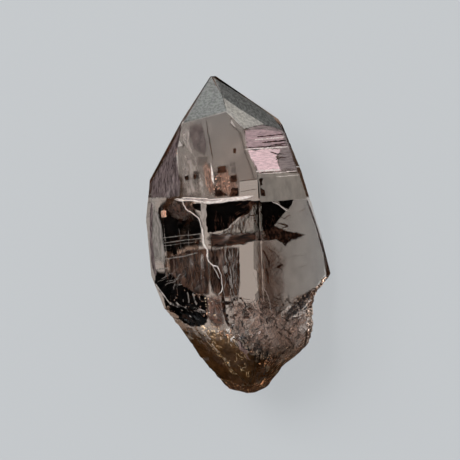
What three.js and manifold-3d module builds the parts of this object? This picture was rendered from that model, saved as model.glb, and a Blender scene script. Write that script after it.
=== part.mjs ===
// A smoky quartz crystal with dark minerals enclosed in it, lying on its large back prism face.
//
// The clear crystal is parted in two along a bent surface that runs under its front and right faces: a thick
// back part and a thin front one. The enclosed minerals sit in pockets of the back part, closed by the front one.
//
// The crystal's long axis runs along +Y with the tip at the +Y end, and its front prism face looks up, +Z.
// The origin lies on the back face that it rests on, under the crystal's centre point.
// Lengths are in millimetres and angles in degrees. A level is a height along the long axis, measured from the
// centre point: the tip is the highest level and the broken base is the lowest.

import * as THREE from 'three';
import Module from 'manifold-3d';

// Driving dimensions
const THICKNESS = 17.0;
const TIP_LEVEL = 23.3;
const BASE_LEVEL = -21.7;
const SEAM = 0.02;
const ROW_GAP = 0.018;
const WELD = 0.001;

// Growth sectors in order round the long axis. Azimuth 0 faces up and azimuth 90 faces +X.
// Each sector's faces are planes: tilt is the angle between a face's normal and the long axis, so a prism face
// has 90, a rhombohedral tip face about 52, and distance runs from the centre point to the plane.
const SECTORS = [
  { name: 'back left prism', azimuth: -120, columns: 6, faces: [{ tilt: 90, distance: 10.75 }] },
  { name: 'lower left break', azimuth: -95, columns: 4, faces: [{ tilt: 116.5, distance: 13.95 }] },
  { name: 'left tip', azimuth: -85, columns: 2, faces: [{ tilt: 53.8, distance: 16.3 }] },
  {
    name: 'left',
    azimuth: -61,
    columns: 5,
    faces: [{ tilt: 75.3, distance: 14.05 }, { tilt: 90, distance: 13.4 }],
  },
  { name: 'front tip', azimuth: -7.4, columns: 2, faces: [{ tilt: 51.8, distance: 17.95 }] },
  { name: 'front prism', azimuth: 0, columns: 11, faces: [{ tilt: 90, distance: THICKNESS / 2 }] },
  { name: 'inner right tip', azimuth: 60.7, columns: 2, faces: [{ tilt: 55.2, distance: 13.6 }] },
  {
    name: 'right',
    azimuth: 62.5,
    columns: 8,
    faces: [{ tilt: 78.9, distance: 8.35 }, { tilt: 92.1, distance: 6.45 }],
  },
  { name: 'outer right tip', azimuth: 67.8, columns: 2, faces: [{ tilt: 50.7, distance: 14.35 }] },
  { name: 'right bevel', azimuth: 80, columns: 2, faces: [{ tilt: 90, distance: 8.8 }] },
  { name: 'back right', azimuth: 115.8, columns: 7, faces: [{ tilt: 72.1, distance: 10.24 }] },
  { name: 'back tip', azimuth: 178, columns: 2, faces: [{ tilt: 55.2, distance: 10.2 }] },
  { name: 'back prism', azimuth: 180, columns: 7, faces: [{ tilt: 90, distance: THICKNESS / 2 }] },
];

// Growth ledges that cross a sector at right angles to the long axis. Below each one the face stands out by
// its height, and tapers back to the plane at the next ledge down.
const LEDGES = {
  right: [
    { level: 15.3, height: 0.05 },
    { level: 14.5, height: 0.09 },
    { level: 13.9, height: 0.06 },
    { level: 13.0, height: 0.13 },
    { level: 11.6, height: 0.05 },
    { level: 10.3, height: 0.08 },
    { level: 9.7, height: 0.1 },
    { level: 9.1, height: 0.07 },
    { level: 8.4, height: 0.0 },
  ],
  left: [
    { level: 12.6, height: 0.07 },
    { level: 11.0, height: 0.05 },
    { level: 9.6, height: 0.08 },
    { level: 8.2, height: 0.0 },
  ],
  'back right': [
    { level: 11.8, height: 0.08 },
    { level: 9.9, height: 0.12 },
    { level: 7.1, height: 0.07 },
    { level: 4.6, height: 0.14 },
    { level: 1.2, height: 0.08 },
    { level: -2.3, height: 0.0 },
  ],
  'back left prism': [
    { level: 6.4, height: 0.08 },
    { level: 3.9, height: 0.12 },
    { level: 0.7, height: 0.06 },
    { level: -1.8, height: 0.0 },
  ],
};

// The path of the middle of the crystal's cross-section, as [level, x, height over the front face].
const CORE = [
  [BASE_LEVEL, -1.7, -9.4],
  [-15.0, -1.2, -8.8],
  [5.0, -1.5, -8.5],
  [TIP_LEVEL, -2.62, -4.7],
];

// The broken base. Each outline gives the reach from the core at a level, and meets the grown faces at its top.
const BASE_RIGHT = [
  [BASE_LEVEL, 0.6],
  [-21.2, 2.0],
  [-18.0, 5.0],
  [-15.9, 8.0],
  [-14.0, 9.1],
  [-12.2, 9.5],
  [-8.8, 9.8],
  [-8.0, 10.3],
  [-5.9, 12.9],
  [-5.0, 16.0],
];
const BASE_LEFT = [
  [BASE_LEVEL, 0.6],
  [-20.8, 3.0],
  [-17.5, 6.3],
  [-13.0, 9.0],
  [-9.5, 11.2],
  [-7.0, 14.0],
];
const BASE_FRONT = [
  [BASE_LEVEL, 0.5],
  [-20.6, 2.6],
  [-17.5, 5.3],
  [-14.0, 7.4],
  [-11.0, 8.3],
  [-8.5, 9.4],
  [-7.0, 13.0],
];
const BASE_BACK = [
  [BASE_LEVEL, 0.5],
  [-20.6, 2.4],
  [-17.5, 4.7],
  [-13.5, 6.9],
  [-9.5, 8.1],
  [-6.5, 9.2],
  [-5.0, 13.0],
];
// How square the base's section is, from round near the bottom to nearly the crystal's own hexagon.
const BASE_SQUARENESS = [
  [BASE_LEVEL, 2.0],
  [-15.0, 2.1],
  [-12.0, 2.3],
  [-9.0, 2.9],
  [-6.5, 4.0],
  [-4.0, 5.0],
];

// Lumps (positive) and pits (negative) that the broken base carries, each a round hill of this height, with
// its middle at an azimuth and a level and its width in millimetres.
const LUMPS = [
  { azimuth: 78, level: -9.6, width: 1.5, height: 0.55 },
  { azimuth: 66, level: -11.9, width: 1.3, height: -0.5 },
  { azimuth: 88, level: -13.4, width: 1.6, height: 0.5 },
  { azimuth: 48, level: -9.4, width: 1.2, height: -0.4 },
  { azimuth: 40, level: -13.2, width: 1.7, height: 0.5 },
  { azimuth: 62, level: -15.6, width: 1.4, height: 0.45 },
  { azimuth: 20, level: -11.0, width: 1.2, height: -0.35 },
  { azimuth: 8, level: -14.6, width: 1.6, height: 0.4 },
  { azimuth: -12, level: -11.8, width: 1.3, height: -0.4 },
  { azimuth: -30, level: -13.8, width: 1.5, height: 0.45 },
  { azimuth: -48, level: -9.8, width: 1.4, height: -0.5 },
  { azimuth: -62, level: -12.6, width: 1.4, height: 0.5 },
  { azimuth: -84, level: -8.6, width: 1.3, height: -0.35 },
  { azimuth: -98, level: -12.0, width: 1.6, height: 0.45 },
  { azimuth: -75, level: -16.2, width: 1.5, height: 0.35 },
  { azimuth: -20, level: -17.6, width: 1.9, height: 0.35 },
  { azimuth: 30, level: -17.9, width: 1.5, height: -0.35 },
  { azimuth: 105, level: -16.4, width: 1.7, height: 0.4 },
  { azimuth: 118, level: -10.4, width: 1.9, height: -0.6 },
  { azimuth: 145, level: -12.8, width: 2.0, height: 0.6 },
  { azimuth: 172, level: -15.4, width: 1.9, height: -0.5 },
  { azimuth: -155, level: -12.4, width: 1.8, height: 0.55 },
  { azimuth: -130, level: -9.2, width: 1.6, height: -0.5 },
  { azimuth: -140, level: -16.8, width: 1.7, height: 0.4 },
];

// Fine roughness of the broken surface: the size of its grains and how far they stand out.
const GRAIN_SIZE = 1.6;
const GRAIN_HEIGHT = 0.34;
const GRAIN_OCTAVES = 2;
// The base's roughness dies away within this distance of its lowest point.
const CALM_TIP = 2.4;

// Rows of the base's surface between its lowest point and the level where all faces are grown ones.
const BASE_ROWS = 20;
const BASE_TOP_LEVEL = -3.2;

// The two planes that part the crystal. Each faces its azimuth and lies at its distance from the long axis.
const UNDER_FRONT = { azimuth: -8.6, distance: 6.68 };
const UNDER_RIGHT = { azimuth: 62.5, distance: 5.3 };
// Room between the two parts, and between each enclosed mineral and its pocket.
const GAP = 0.3;
// Half the size of the block that the planes bound, larger than the crystal.
const BLOCK_REACH = 32;

// The enclosed minerals. Each plate lies under a parting plane. Its outline runs clockwise, as seen from
// outside, through [distance across from the middle of the plane, level].
const MINERALS = [
  {
    name: 'black_wedge',
    colour: 0x0c0a09,
    plates: [
      {
        under: UNDER_FRONT,
        thickness: 1.2,
        outline: [
          [-3.6, 5.5],
          [-2.2, 5.5],
          [0.2, 5.6],
          [2.8, 5.6],
          [2.9, 4.7],
          [2.3, 4.3],
          [2.5, 3.7],
          [1.5, 3.5],
          [1.2, 3.0],
          [0.5, 3.0],
          [-0.3, 2.4],
          [-0.8, 1.8],
          [-1.8, 1.6],
          [-3.7, 1.4],
          [-3.8, 2.9],
        ],
      },
      {
        under: UNDER_RIGHT,
        thickness: 1.2,
        outline: [
          [-4.9, 5.2],
          [-3.5, 5.3],
          [-2.0, 5.1],
          [-0.4, 4.5],
          [0.5, 4.5],
          [1.7, 5.2],
          [3.5, 5.3],
          [2.8, 4.5],
          [1.8, 3.7],
          [0.9, 3.4],
          [-0.1, 2.8],
          [-1.1, 2.2],
          [-3.0, 1.6],
          [-4.9, 1.4],
        ],
      },
    ],
  },
  {
    name: 'brown_spear',
    colour: 0x3b271e,
    plates: [
      {
        under: UNDER_RIGHT,
        thickness: 0.6,
        outline: [
          [-4.7, 0.4],
          [-3.0, 0.7],
          [-1.9, 1.3],
          [-0.4, 1.1],
          [1.1, 0.7],
          [2.9, 0.5],
          [6.0, -0.1],
          [4.0, -0.5],
          [2.2, -0.8],
          [1.4, -1.0],
          [0.6, -1.5],
          [-0.5, -0.8],
          [-2.2, -0.6],
          [-4.7, -0.6],
        ],
      },
    ],
  },
  {
    name: 'black_block',
    colour: 0x17110f,
    plates: [
      {
        under: UNDER_FRONT,
        thickness: 1.0,
        outline: [
          [-8.9, 5.2],
          [-7.9, 6.2],
          [-5.7, 5.8],
          [-4.5, 4.3],
          [-4.7, 2.4],
          [-4.5, 0.5],
          [-4.7, -0.7],
          [-6.8, -0.6],
          [-9.6, -1.2],
          [-9.8, 0.9],
          [-9.4, 2.4],
          [-9.1, 3.4],
        ],
      },
    ],
  },
  {
    name: 'black_patch',
    colour: 0x0c0a09,
    plates: [
      {
        under: UNDER_FRONT,
        thickness: 1.4,
        outline: [
          [-9.9, -5.8],
          [-8.4, -5.6],
          [-7.4, -6.4],
          [-6.9, -6.2],
          [-5.9, -7.3],
          [-4.8, -8.0],
          [-4.8, -9.7],
          [-5.4, -10.8],
          [-6.8, -11.0],
          [-7.8, -10.4],
          [-8.6, -9.2],
          [-9.4, -7.6],
        ],
      },
    ],
  },
];
// The rings of a plate from its outer face inwards, as shares of its outline's size and of its thickness.
const PLATE_RINGS = [
  { size: 0.9, depth: 0 },
  { size: 1, depth: 0.3 },
  { size: 1, depth: 0.65 },
  { size: 0.84, depth: 1 },
];
// A pocket's opening starts this far outside the parting plane.
const POCKET_START = 1;
// A corner of a grown outline moves out by no more than this many times the distance.
const LONGEST_CORNER = 3;

const COLOUR = 0x7a6a5e;
const ROUGHNESS = 0.06;
const MINERAL_ROUGHNESS = 0.7;

const radians = THREE.MathUtils.degToRad;
const CENTRE_HEIGHT = THICKNESS / 2;

// The value at a level of an outline that is given as [level, value] points, in rising order.
function along(outline, level, item = 1) {
  const last = outline.length - 1;
  if (level <= outline[0][0]) return outline[0][item];
  if (level >= outline[last][0]) return outline[last][item];
  const upper = outline.findIndex((point) => point[0] > level);
  const [low, high] = [outline[upper - 1], outline[upper]];
  return THREE.MathUtils.mapLinear(level, low[0], high[0], low[item], high[item]);
}

// How far a sector's ledges lift its face at a level.
function ledgeLift(sector, level) {
  const ledges = LEDGES[sector.name] ?? [];
  const lower = ledges.findIndex((ledge) => ledge.level < level);
  if (lower <= 0) return 0;
  const above = ledges[lower - 1];
  return (above.height * (level - ledges[lower].level)) / (above.level - ledges[lower].level);
}

// Distance of a sector's surface from the long axis through the centre point, at a level.
function reach(sector, level) {
  const planes = sector.faces.map(({ tilt, distance }) => {
    const slope = radians(tilt);
    return (distance - level * Math.cos(slope)) / Math.sin(slope);
  });
  return Math.min(...planes) + ledgeLift(sector, level);
}

// The stretch of each sector's line that is left at a level when all the other sectors have cut it.
function section(level) {
  const reaches = SECTORS.map((sector) => reach(sector, level));
  return SECTORS.map((sector, own) => {
    let from = -Infinity;
    let to = Infinity;
    SECTORS.forEach((other, index) => {
      if (index === own) return;
      const turn = radians(other.azimuth - sector.azimuth);
      const cut = (reaches[index] - reaches[own] * Math.cos(turn)) / Math.sin(turn);
      if (Math.sin(turn) > 0) to = Math.min(to, cut);
      else from = Math.max(from, cut);
    });
    return { sector, reach: reaches[own], from, to, cut: to - from < SEAM };
  });
}

// A point on a sector's line, in the plane across the long axis: x, and the height over the centre point.
function linePoint({ sector, reach: distance }, offset) {
  const turn = radians(sector.azimuth);
  return [
    distance * Math.sin(turn) + offset * Math.cos(turn),
    distance * Math.cos(turn) - offset * Math.sin(turn),
  ];
}

// The closed outline at a level, with the same number of points at every level. A sector that the others have
// cut away gives all its points to the corner where the next one starts.
function outlineAt(level) {
  const stretches = section(level);
  const points = [];
  stretches.forEach((stretch, index) => {
    let shown = index;
    while (stretches[shown % stretches.length].cut) shown += 1;
    const next = stretches[shown % stretches.length];
    for (let column = 0; column < stretch.sector.columns; column += 1) {
      const share = stretch.cut ? 0 : column / stretch.sector.columns;
      points.push(linePoint(next, THREE.MathUtils.lerp(next.from, next.to, share)));
    }
  });
  return points;
}

// A repeatable value from 0 to 1 for each whole-numbered corner of a cubic lattice.
function latticeValue(i, j, k) {
  const mixed = Math.sin(i * 127.1 + j * 311.7 + k * 74.7) * 43758.5453;
  return mixed - Math.floor(mixed);
}

// Smooth noise from -1 to 1 at a point, for grains one unit wide.
function smoothNoise(x, y, z) {
  const [i, j, k] = [Math.floor(x), Math.floor(y), Math.floor(z)];
  const [u, v, w] = [x - i, y - j, z - k].map((part) => part * part * (3 - 2 * part));
  let total = 0;
  for (const [a, b, c] of [[0, 0, 0], [1, 0, 0], [0, 1, 0], [1, 1, 0], [0, 0, 1], [1, 0, 1], [0, 1, 1], [1, 1, 1]]) {
    const share = (a ? u : 1 - u) * (b ? v : 1 - v) * (c ? w : 1 - w);
    total += share * latticeValue(i + a, j + b, k + c);
  }
  return 2 * total - 1;
}

// Roughness of the broken surface at a point: finer grains are lower ones.
function grain(x, y, z) {
  let height = 0;
  for (let octave = 0; octave < GRAIN_OCTAVES; octave += 1) {
    const scale = 2 ** octave / GRAIN_SIZE;
    height += (GRAIN_HEIGHT * smoothNoise(x * scale, y * scale, z * scale)) / 2 ** octave;
  }
  return height;
}

// Height of all the lumps and pits at an azimuth (radians), a level and a distance from the core.
function lumpHeight(azimuth, level, distance) {
  return LUMPS.reduce((height, lump) => {
    const turn = Math.atan2(Math.sin(azimuth - radians(lump.azimuth)), Math.cos(azimuth - radians(lump.azimuth)));
    const away = Math.hypot(turn * distance, level - lump.level) / lump.width;
    return height + lump.height * Math.exp(-away * away);
  }, 0);
}

// The broken base's reach from the core at an azimuth and a level: a rounded section whose four half-widths
// follow the four outlines.
function baseReach(azimuth, level) {
  const across = Math.sin(azimuth);
  const up = Math.cos(azimuth);
  const width = along(across > 0 ? BASE_RIGHT : BASE_LEFT, level);
  const depth = along(up > 0 ? BASE_FRONT : BASE_BACK, level);
  const power = along(BASE_SQUARENESS, level);
  return (Math.abs(across / width) ** power + Math.abs(up / depth) ** power) ** (-1 / power);
}

// Moves an outline point in to the broken base where that is nearer the core, and roughens it there.
function surfacePoint([x, height], level) {
  const coreX = along(CORE, level, 1);
  const coreHeight = along(CORE, level, 2) + CENTRE_HEIGHT;
  const azimuth = Math.atan2(x - coreX, height - coreHeight);
  const grown = Math.hypot(x - coreX, height - coreHeight);
  const base = baseReach(azimuth, level);
  const relief = lumpHeight(azimuth, level, base) + grain(x, level, height);
  const distance = Math.min(grown, base + relief * Math.min(1, base / CALM_TIP));
  return new THREE.Vector3(
    coreX + distance * Math.sin(azimuth),
    level,
    coreHeight + distance * Math.cos(azimuth) + CENTRE_HEIGHT,
  );
}

// Levels where three of the grown planes meet on the crystal, so that every edge runs straight between rows.
function cornerLevels() {
  const planes = SECTORS.flatMap((sector) => sector.faces.map(({ tilt, distance }) => {
    const [turn, slope] = [radians(sector.azimuth), radians(tilt)];
    const normal = new THREE.Vector3(
      Math.sin(slope) * Math.sin(turn),
      Math.cos(slope),
      Math.sin(slope) * Math.cos(turn),
    );
    return { normal, distance };
  }));
  const levels = [];
  planes.forEach((a, first) => planes.slice(first + 1).forEach((b, second) => {
    planes.slice(first + second + 2).forEach((c) => {
      const matrix = new THREE.Matrix3().set(
        ...a.normal.toArray(),
        ...b.normal.toArray(),
        ...c.normal.toArray(),
      );
      if (Math.abs(matrix.determinant()) < WELD) return;
      const meeting = new THREE.Vector3(a.distance, b.distance, c.distance).applyMatrix3(matrix.invert());
      if (planes.every(({ normal, distance }) => normal.dot(meeting) < distance + WELD)) levels.push(meeting.y);
    });
  }));
  return levels;
}

// All row levels in rising order: close rows on the base, its outlines' corners, the corners of the grown
// faces and both sides of every ledge. Of two that nearly meet, only the lower is kept.
function rowLevels() {
  const wanted = [...cornerLevels(), TIP_LEVEL];
  for (let row = 0; row <= BASE_ROWS; row += 1) {
    const share = 1 - Math.cos((Math.PI / 2) * (row / BASE_ROWS));
    wanted.push(THREE.MathUtils.lerp(BASE_LEVEL, BASE_TOP_LEVEL, share));
  }
  [...BASE_RIGHT, ...BASE_LEFT].forEach(([level]) => wanted.push(level));
  Object.values(LEDGES).flat().forEach(({ level }) => wanted.push(level - SEAM / 2, level + SEAM / 2));
  const rows = [BASE_LEVEL];
  wanted.sort((a, b) => a - b);
  wanted.forEach((level) => {
    if (level - rows.at(-1) > ROW_GAP && level <= TIP_LEVEL) rows.push(level);
  });
  return rows;
}

// Joins rings of points into one closed surface, with a fan at each end. The points run anticlockwise, as seen
// from the end where the last ring is.
function closedSurface(rings) {
  const vertices = [];
  const known = new Map();
  const indexOf = (point) => {
    const key = point.toArray().map((value) => Math.round(value / WELD)).join(' ');
    if (!known.has(key)) {
      known.set(key, vertices.length / 3);
      vertices.push(...point.toArray());
    }
    return known.get(key);
  };
  const faces = [];
  const addFace = (a, b, c) => {
    const corners = [indexOf(a), indexOf(b), indexOf(c)];
    if (new Set(corners).size === 3) faces.push(...corners);
  };
  const [lowest, highest] = [rings[0], rings.at(-1)];
  const [bottom, top] = [middleOf(lowest), middleOf(highest)];
  lowest.forEach((point, column) => {
    const next = (column + 1) % lowest.length;
    addFace(bottom, lowest[next], point);
    addFace(top, highest[column], highest[next]);
    for (let row = 0; row + 1 < rings.length; row += 1) {
      const [low, high] = [rings[row], rings[row + 1]];
      addFace(low[column], low[next], high[next]);
      addFace(low[column], high[next], high[column]);
    }
  });
  const geometry = new THREE.BufferGeometry();
  geometry.setAttribute('position', new THREE.Float32BufferAttribute(vertices, 3));
  geometry.setIndex(faces);
  return geometry;
}

// The mean of some points.
function middleOf(points) {
  const sum = points[0].clone();
  points.slice(1).forEach((point) => sum.add(point));
  return sum.divideScalar(points.length);
}

const wasm = await Module();
wasm.setup();

// The solid inside a closed surface.
function solidOf(geometry) {
  return new wasm.Manifold(new wasm.Mesh({
    numProp: 3,
    vertProperties: geometry.getAttribute('position').array,
    triVerts: new Uint32Array(geometry.getIndex().array),
  }));
}

// The surface of a solid, for showing it.
function geometryOf(solid) {
  const mesh = solid.getMesh();
  const geometry = new THREE.BufferGeometry();
  geometry.setAttribute('position', new THREE.Float32BufferAttribute(mesh.vertProperties, mesh.numProp));
  geometry.setIndex([...mesh.triVerts]);
  geometry.computeVertexNormals();
  return geometry;
}

// The block that the two parting planes bound, with both planes moved out by a distance.
function blockUnderPlanes(outwards) {
  const bounds = [UNDER_FRONT, UNDER_RIGHT].map(({ azimuth, distance }) => {
    const turn = radians(azimuth);
    return { across: Math.sin(turn), up: Math.cos(turn), distance: distance + outwards };
  });
  const [front, right] = bounds;
  const heightAt = (x) => (front.distance - front.across * x) / front.up;
  const xAt = (height) => (right.distance - right.up * height) / right.across;
  const ridge = (right.distance - (right.up * front.distance) / front.up)
    / (right.across - (right.up * front.across) / front.up);
  const corners = [
    [-BLOCK_REACH, -BLOCK_REACH],
    [-BLOCK_REACH, heightAt(-BLOCK_REACH)],
    [ridge, heightAt(ridge)],
    [xAt(-BLOCK_REACH), -BLOCK_REACH],
  ];
  const ends = [-BLOCK_REACH, BLOCK_REACH].map((level) => (
    corners.map(([x, height]) => new THREE.Vector3(x, level, height + CENTRE_HEIGHT))
  ));
  return solidOf(closedSurface(ends));
}

// The points of an outline at a depth under a plane.
function underPlane({ azimuth, distance }, outline, depth) {
  const turn = radians(azimuth);
  const outward = new THREE.Vector3(Math.sin(turn), 0, Math.cos(turn));
  const across = new THREE.Vector3(Math.cos(turn), 0, -Math.sin(turn));
  return outline.map(([offset, level]) => (
    new THREE.Vector3(0, level, CENTRE_HEIGHT)
      .addScaledVector(across, offset)
      .addScaledVector(outward, distance - depth)
  ));
}

// A plate with slanted rims, thickest inside its outline.
function plateSolid({ under, thickness, outline }) {
  const middle = middleOf(outline.map((point) => new THREE.Vector2(...point)));
  const rings = PLATE_RINGS.map(({ size, depth }) => {
    const ring = outline.map((point) => new THREE.Vector2(...point).sub(middle).multiplyScalar(size).add(middle));
    return underPlane(under, ring.map((point) => point.toArray()), depth * thickness);
  });
  return solidOf(closedSurface(rings));
}

// An outline whose sides are all moved out by a distance.
function grown(outline, distance) {
  const points = outline.map((point) => new THREE.Vector2(...point));
  const outwardOf = (from, to) => {
    const side = to.clone().sub(from).normalize();
    return new THREE.Vector2(-side.y, side.x);
  };
  return points.map((point, index) => {
    const before = outwardOf(points.at(index - 1), point);
    const after = outwardOf(point, points[(index + 1) % points.length]);
    const way = before.clone().add(after).normalize();
    const stretch = Math.min(LONGEST_CORNER, 1 / Math.max(way.dot(after), WELD));
    return point.clone().addScaledVector(way, distance * stretch).toArray();
  });
}

// The pocket that a plate sits in, open past the parting plane.
function pocketSolid({ under, thickness, outline }) {
  const opening = grown(outline, GAP);
  return solidOf(closedSurface([
    underPlane(under, opening, -POCKET_START),
    underPlane(under, opening, thickness + GAP),
  ]));
}

// A named piece of the model.
function piece(name, solid, color, roughness) {
  const mesh = new THREE.Mesh(
    geometryOf(solid),
    new THREE.MeshStandardMaterial({ color, roughness, metalness: 0 }),
  );
  mesh.name = name;
  return mesh;
}

const crystalRings = rowLevels().map((level) => outlineAt(level).map((point) => surfacePoint(point, level)));
const wholeCrystal = solidOf(closedSurface(crystalRings));
const block = blockUnderPlanes(0);
const frontPart = wholeCrystal.subtract(blockUnderPlanes(GAP));
const pockets = MINERALS.flatMap(({ plates }) => plates.map(pocketSolid));
const backPart = pockets.reduce((solid, pocket) => solid.subtract(pocket), wholeCrystal.intersect(block));

const smokyQuartz = new THREE.Group();
smokyQuartz.add(piece('crystal', backPart, COLOUR, ROUGHNESS));
smokyQuartz.add(piece('crystal_front', frontPart, COLOUR, ROUGHNESS));
MINERALS.forEach(({ name, colour, plates }) => {
  const solid = plates.map(plateSolid).reduce((joined, plate) => joined.add(plate)).intersect(block);
  smokyQuartz.add(piece(name, solid, colour, MINERAL_ROUGHNESS));
});

export default smokyQuartz;
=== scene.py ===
"""Looks of a smoky quartz crystal that lies on a pale floor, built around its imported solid.

Lengths are millimetres in the crystal's own frame until a mesh or a light is made, and metres from there
on. The long axis runs along +Y with the tip at the +Y end, and the front prism face looks up, +Z. A level
is a height along the long axis, measured from the crystal's centre point. Minerals and fractures inside the
crystal are placed by where they show in the picture, and by how deep they lie behind the face that they are
seen through.
"""

import itertools
import logging
import math
from collections.abc import Sequence
from dataclasses import dataclass, fields
from enum import Enum

import bmesh
import bpy
import numpy as np
from mathutils import Matrix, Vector
from numpy.typing import NDArray

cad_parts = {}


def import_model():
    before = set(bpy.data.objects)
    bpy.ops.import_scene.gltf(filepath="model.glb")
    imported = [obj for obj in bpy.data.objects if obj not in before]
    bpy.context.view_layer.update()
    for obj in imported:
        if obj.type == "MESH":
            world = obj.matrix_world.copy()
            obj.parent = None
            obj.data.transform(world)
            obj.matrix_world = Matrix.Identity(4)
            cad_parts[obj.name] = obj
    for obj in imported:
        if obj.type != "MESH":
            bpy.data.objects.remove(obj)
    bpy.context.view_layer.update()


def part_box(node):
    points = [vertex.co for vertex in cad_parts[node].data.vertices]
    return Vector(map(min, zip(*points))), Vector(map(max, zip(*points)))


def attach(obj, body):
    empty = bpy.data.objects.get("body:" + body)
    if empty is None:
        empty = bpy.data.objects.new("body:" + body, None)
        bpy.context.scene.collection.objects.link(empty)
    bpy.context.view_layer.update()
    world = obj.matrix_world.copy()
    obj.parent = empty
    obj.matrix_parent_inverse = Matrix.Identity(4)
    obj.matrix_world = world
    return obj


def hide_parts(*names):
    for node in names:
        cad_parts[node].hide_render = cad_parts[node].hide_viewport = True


Array = NDArray[np.float64]
Socket = bpy.types.NodeSocket
Span = tuple[float, float]
Outline = tuple[tuple[float, float], ...]
Colour = tuple[float, float, float]
Screen = tuple[int, int, int]

MM = 0.001
BODY = "root"
CRYSTAL_NODES = ("crystal", "crystal_front")
RIM = "rim"
# Points nearer than this in metres are one point.
WELD = 1e-6
# Factors that make a sine's value look random.
LATTICE_TURNS = (127.1, 311.7, 74.7)
LATTICE_HEIGHT = 43758.5453
# Almost all of a noise lies in this span, and a hole's edge is blurred by this much to both sides.
HOLE_NOISE = (0.28, 0.72)
HOLE_BLUR = 0.08
# Parts of a noise's span over which it takes effect: on the base's roughness, on that of the grown faces, on
# a mineral's colour and roughness, and on a film's colour.
FROST_NOISE = (0.35, 0.7)
GLOSS_NOISE = (0.4, 0.75)
MOTTLE_NOISE = (0.42, 0.68)
DULL_NOISE = (0.3, 0.7)
STREAK_NOISE = (0.35, 0.65)
# How far under and over a film's threshold its noise takes effect.
VEIL_BLUR = (0.1, 0.15)
# How much the ends of a strand count as rim.
END_FADE = 0.8
# Stands for zero under a division.
TINY = 1e-9
# The least determinant of three planes that meet in a corner, and how far out of the crystal it may lie.
CORNER_SLACK = 1e-3
# A fine ledge nearer than this to a known one is left out, and the others have these shares of the height.
LEDGE_GAP = 0.08
FINE_LEDGES = (0.3, 1.0)
# Grains for each pixel, and share, of each noise that a vein wanders by.
VEIN_WANDER = ((0.16, 1.0), (0.7, 0.6), (1.9, 0.4))

report = logging.getLogger("smoky_quartz")


class Slot(Enum):
    """The record's material slots."""

    CLEAR = "smoky_quartz"
    DARK = "dark_inclusion"
    PALE = "pale_fracture"


def lattice_value(corner: Array) -> Array:
    """A repeatable value from 0 to 1 for each whole-numbered corner: the fractional part of a large sine."""
    mixed = np.sin(corner @ np.array(LATTICE_TURNS)) * LATTICE_HEIGHT
    return mixed - np.floor(mixed)


def smooth_noise(points: Array) -> Array:
    """Smooth noise from -1 to 1 with grains one unit wide: the lattice values, blended by eased shares.

    Args:
        points: places, with x, y and z in the last axis.

    Returns:
        The noise at each place.
    """
    cell = np.floor(points)
    part = points - cell
    ease = part * part * (3 - 2 * part)
    total = np.zeros(points.shape[:-1])
    for corner in itertools.product((0.0, 1.0), repeat=3):
        share = np.prod(np.where(np.array(corner) > 0, ease, 1 - ease), axis=-1)
        total += share * lattice_value(cell + np.array(corner))
    return 2 * total - 1


def grain(points: Array, size: float, height: float, octaves: int) -> Array:
    """Roughness as a sum of noises, each half as wide and half as high as the one before.

    Args:
        points: places, with x, y and z in the last axis.
        size: width of the widest grains.
        height: height of the widest grains.
        octaves: how many noises are added.

    Returns:
        The roughness at each place.
    """
    total = np.zeros(points.shape[:-1])
    for octave in range(octaves):
        total += height / 2**octave * smooth_noise(points * (2**octave / size))
    return total


def resample(points: Array, count: int, closed: bool) -> Array:
    """Points at even steps along a line, or round a closed outline.

    Args:
        points: the line's own points, one in a row.
        count: how many points are wanted.
        closed: whether the last point joins the first.

    Returns:
        The new points, one in a row.
    """
    path = np.vstack([points, points[:1]]) if closed else points
    steps = np.linalg.norm(np.diff(path, axis=0), axis=1)
    along = np.concatenate([[0.0], np.cumsum(steps)])
    wanted = np.linspace(0, along[-1], count, endpoint=not closed)
    return np.stack([np.interp(wanted, along, column) for column in path.T], axis=-1)


def unit(vectors: Array) -> Array:
    """The vectors at length one."""
    return vectors / np.maximum(np.linalg.norm(vectors, axis=-1, keepdims=True), TINY)


def ring_faces(rings: int, columns: int) -> tuple[Array, Array]:
    """The faces of a stack of rings: quads between neighbouring rings, and a fan of triangles at each end.

    Args:
        rings: how many rings.
        columns: points on each.

    Returns:
        The quads and the triangles, by their points' numbers. The ends' middles come after the rings' points.
    """
    column = np.arange(columns)
    following = (column + 1) % columns
    row = (np.arange(rings - 1) * columns)[:, None]
    above = row + columns
    quads = np.stack([row + column, row + following, above + following, above + column], axis=-1)
    last, middle = (rings - 1) * columns, rings * columns
    fans = (
        np.stack([following, column, np.full(columns, middle)], axis=-1),
        np.stack([last + column, last + following, np.full(columns, middle + 1)], axis=-1),
    )
    return quads.reshape(-1, 4), np.concatenate(fans)


def face_inwards(points: Array, quads: Array, fans: Array) -> Array:
    """Whether a shape's faces look inwards: the sum of a . (b x c) over its triangles is below zero then.

    Args:
        points: points, indexed by shape, point and axis.
        quads: each quad's points.
        fans: each triangle's points.

    Returns:
        One answer for each shape.
    """
    local = points - points.mean(axis=1, keepdims=True)
    triangles = np.concatenate([quads[:, [0, 1, 2]], quads[:, [0, 2, 3]], fans])
    a, b, c = (local[:, triangles[:, corner]] for corner in range(3))
    return np.einsum("nfk,nfk->n", a, np.cross(b, c)) < 0


def weld_points(mesh: bpy.types.Mesh) -> None:
    """Merges the points that meet, and takes out faces with no area.

    Args:
        mesh: the mesh.
    """
    work = bmesh.new()
    work.from_mesh(mesh)
    bmesh.ops.remove_doubles(work, verts=work.verts, dist=WELD)
    bmesh.ops.dissolve_degenerate(work, edges=work.edges, dist=WELD / 10)
    work.to_mesh(mesh)
    work.free()


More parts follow.
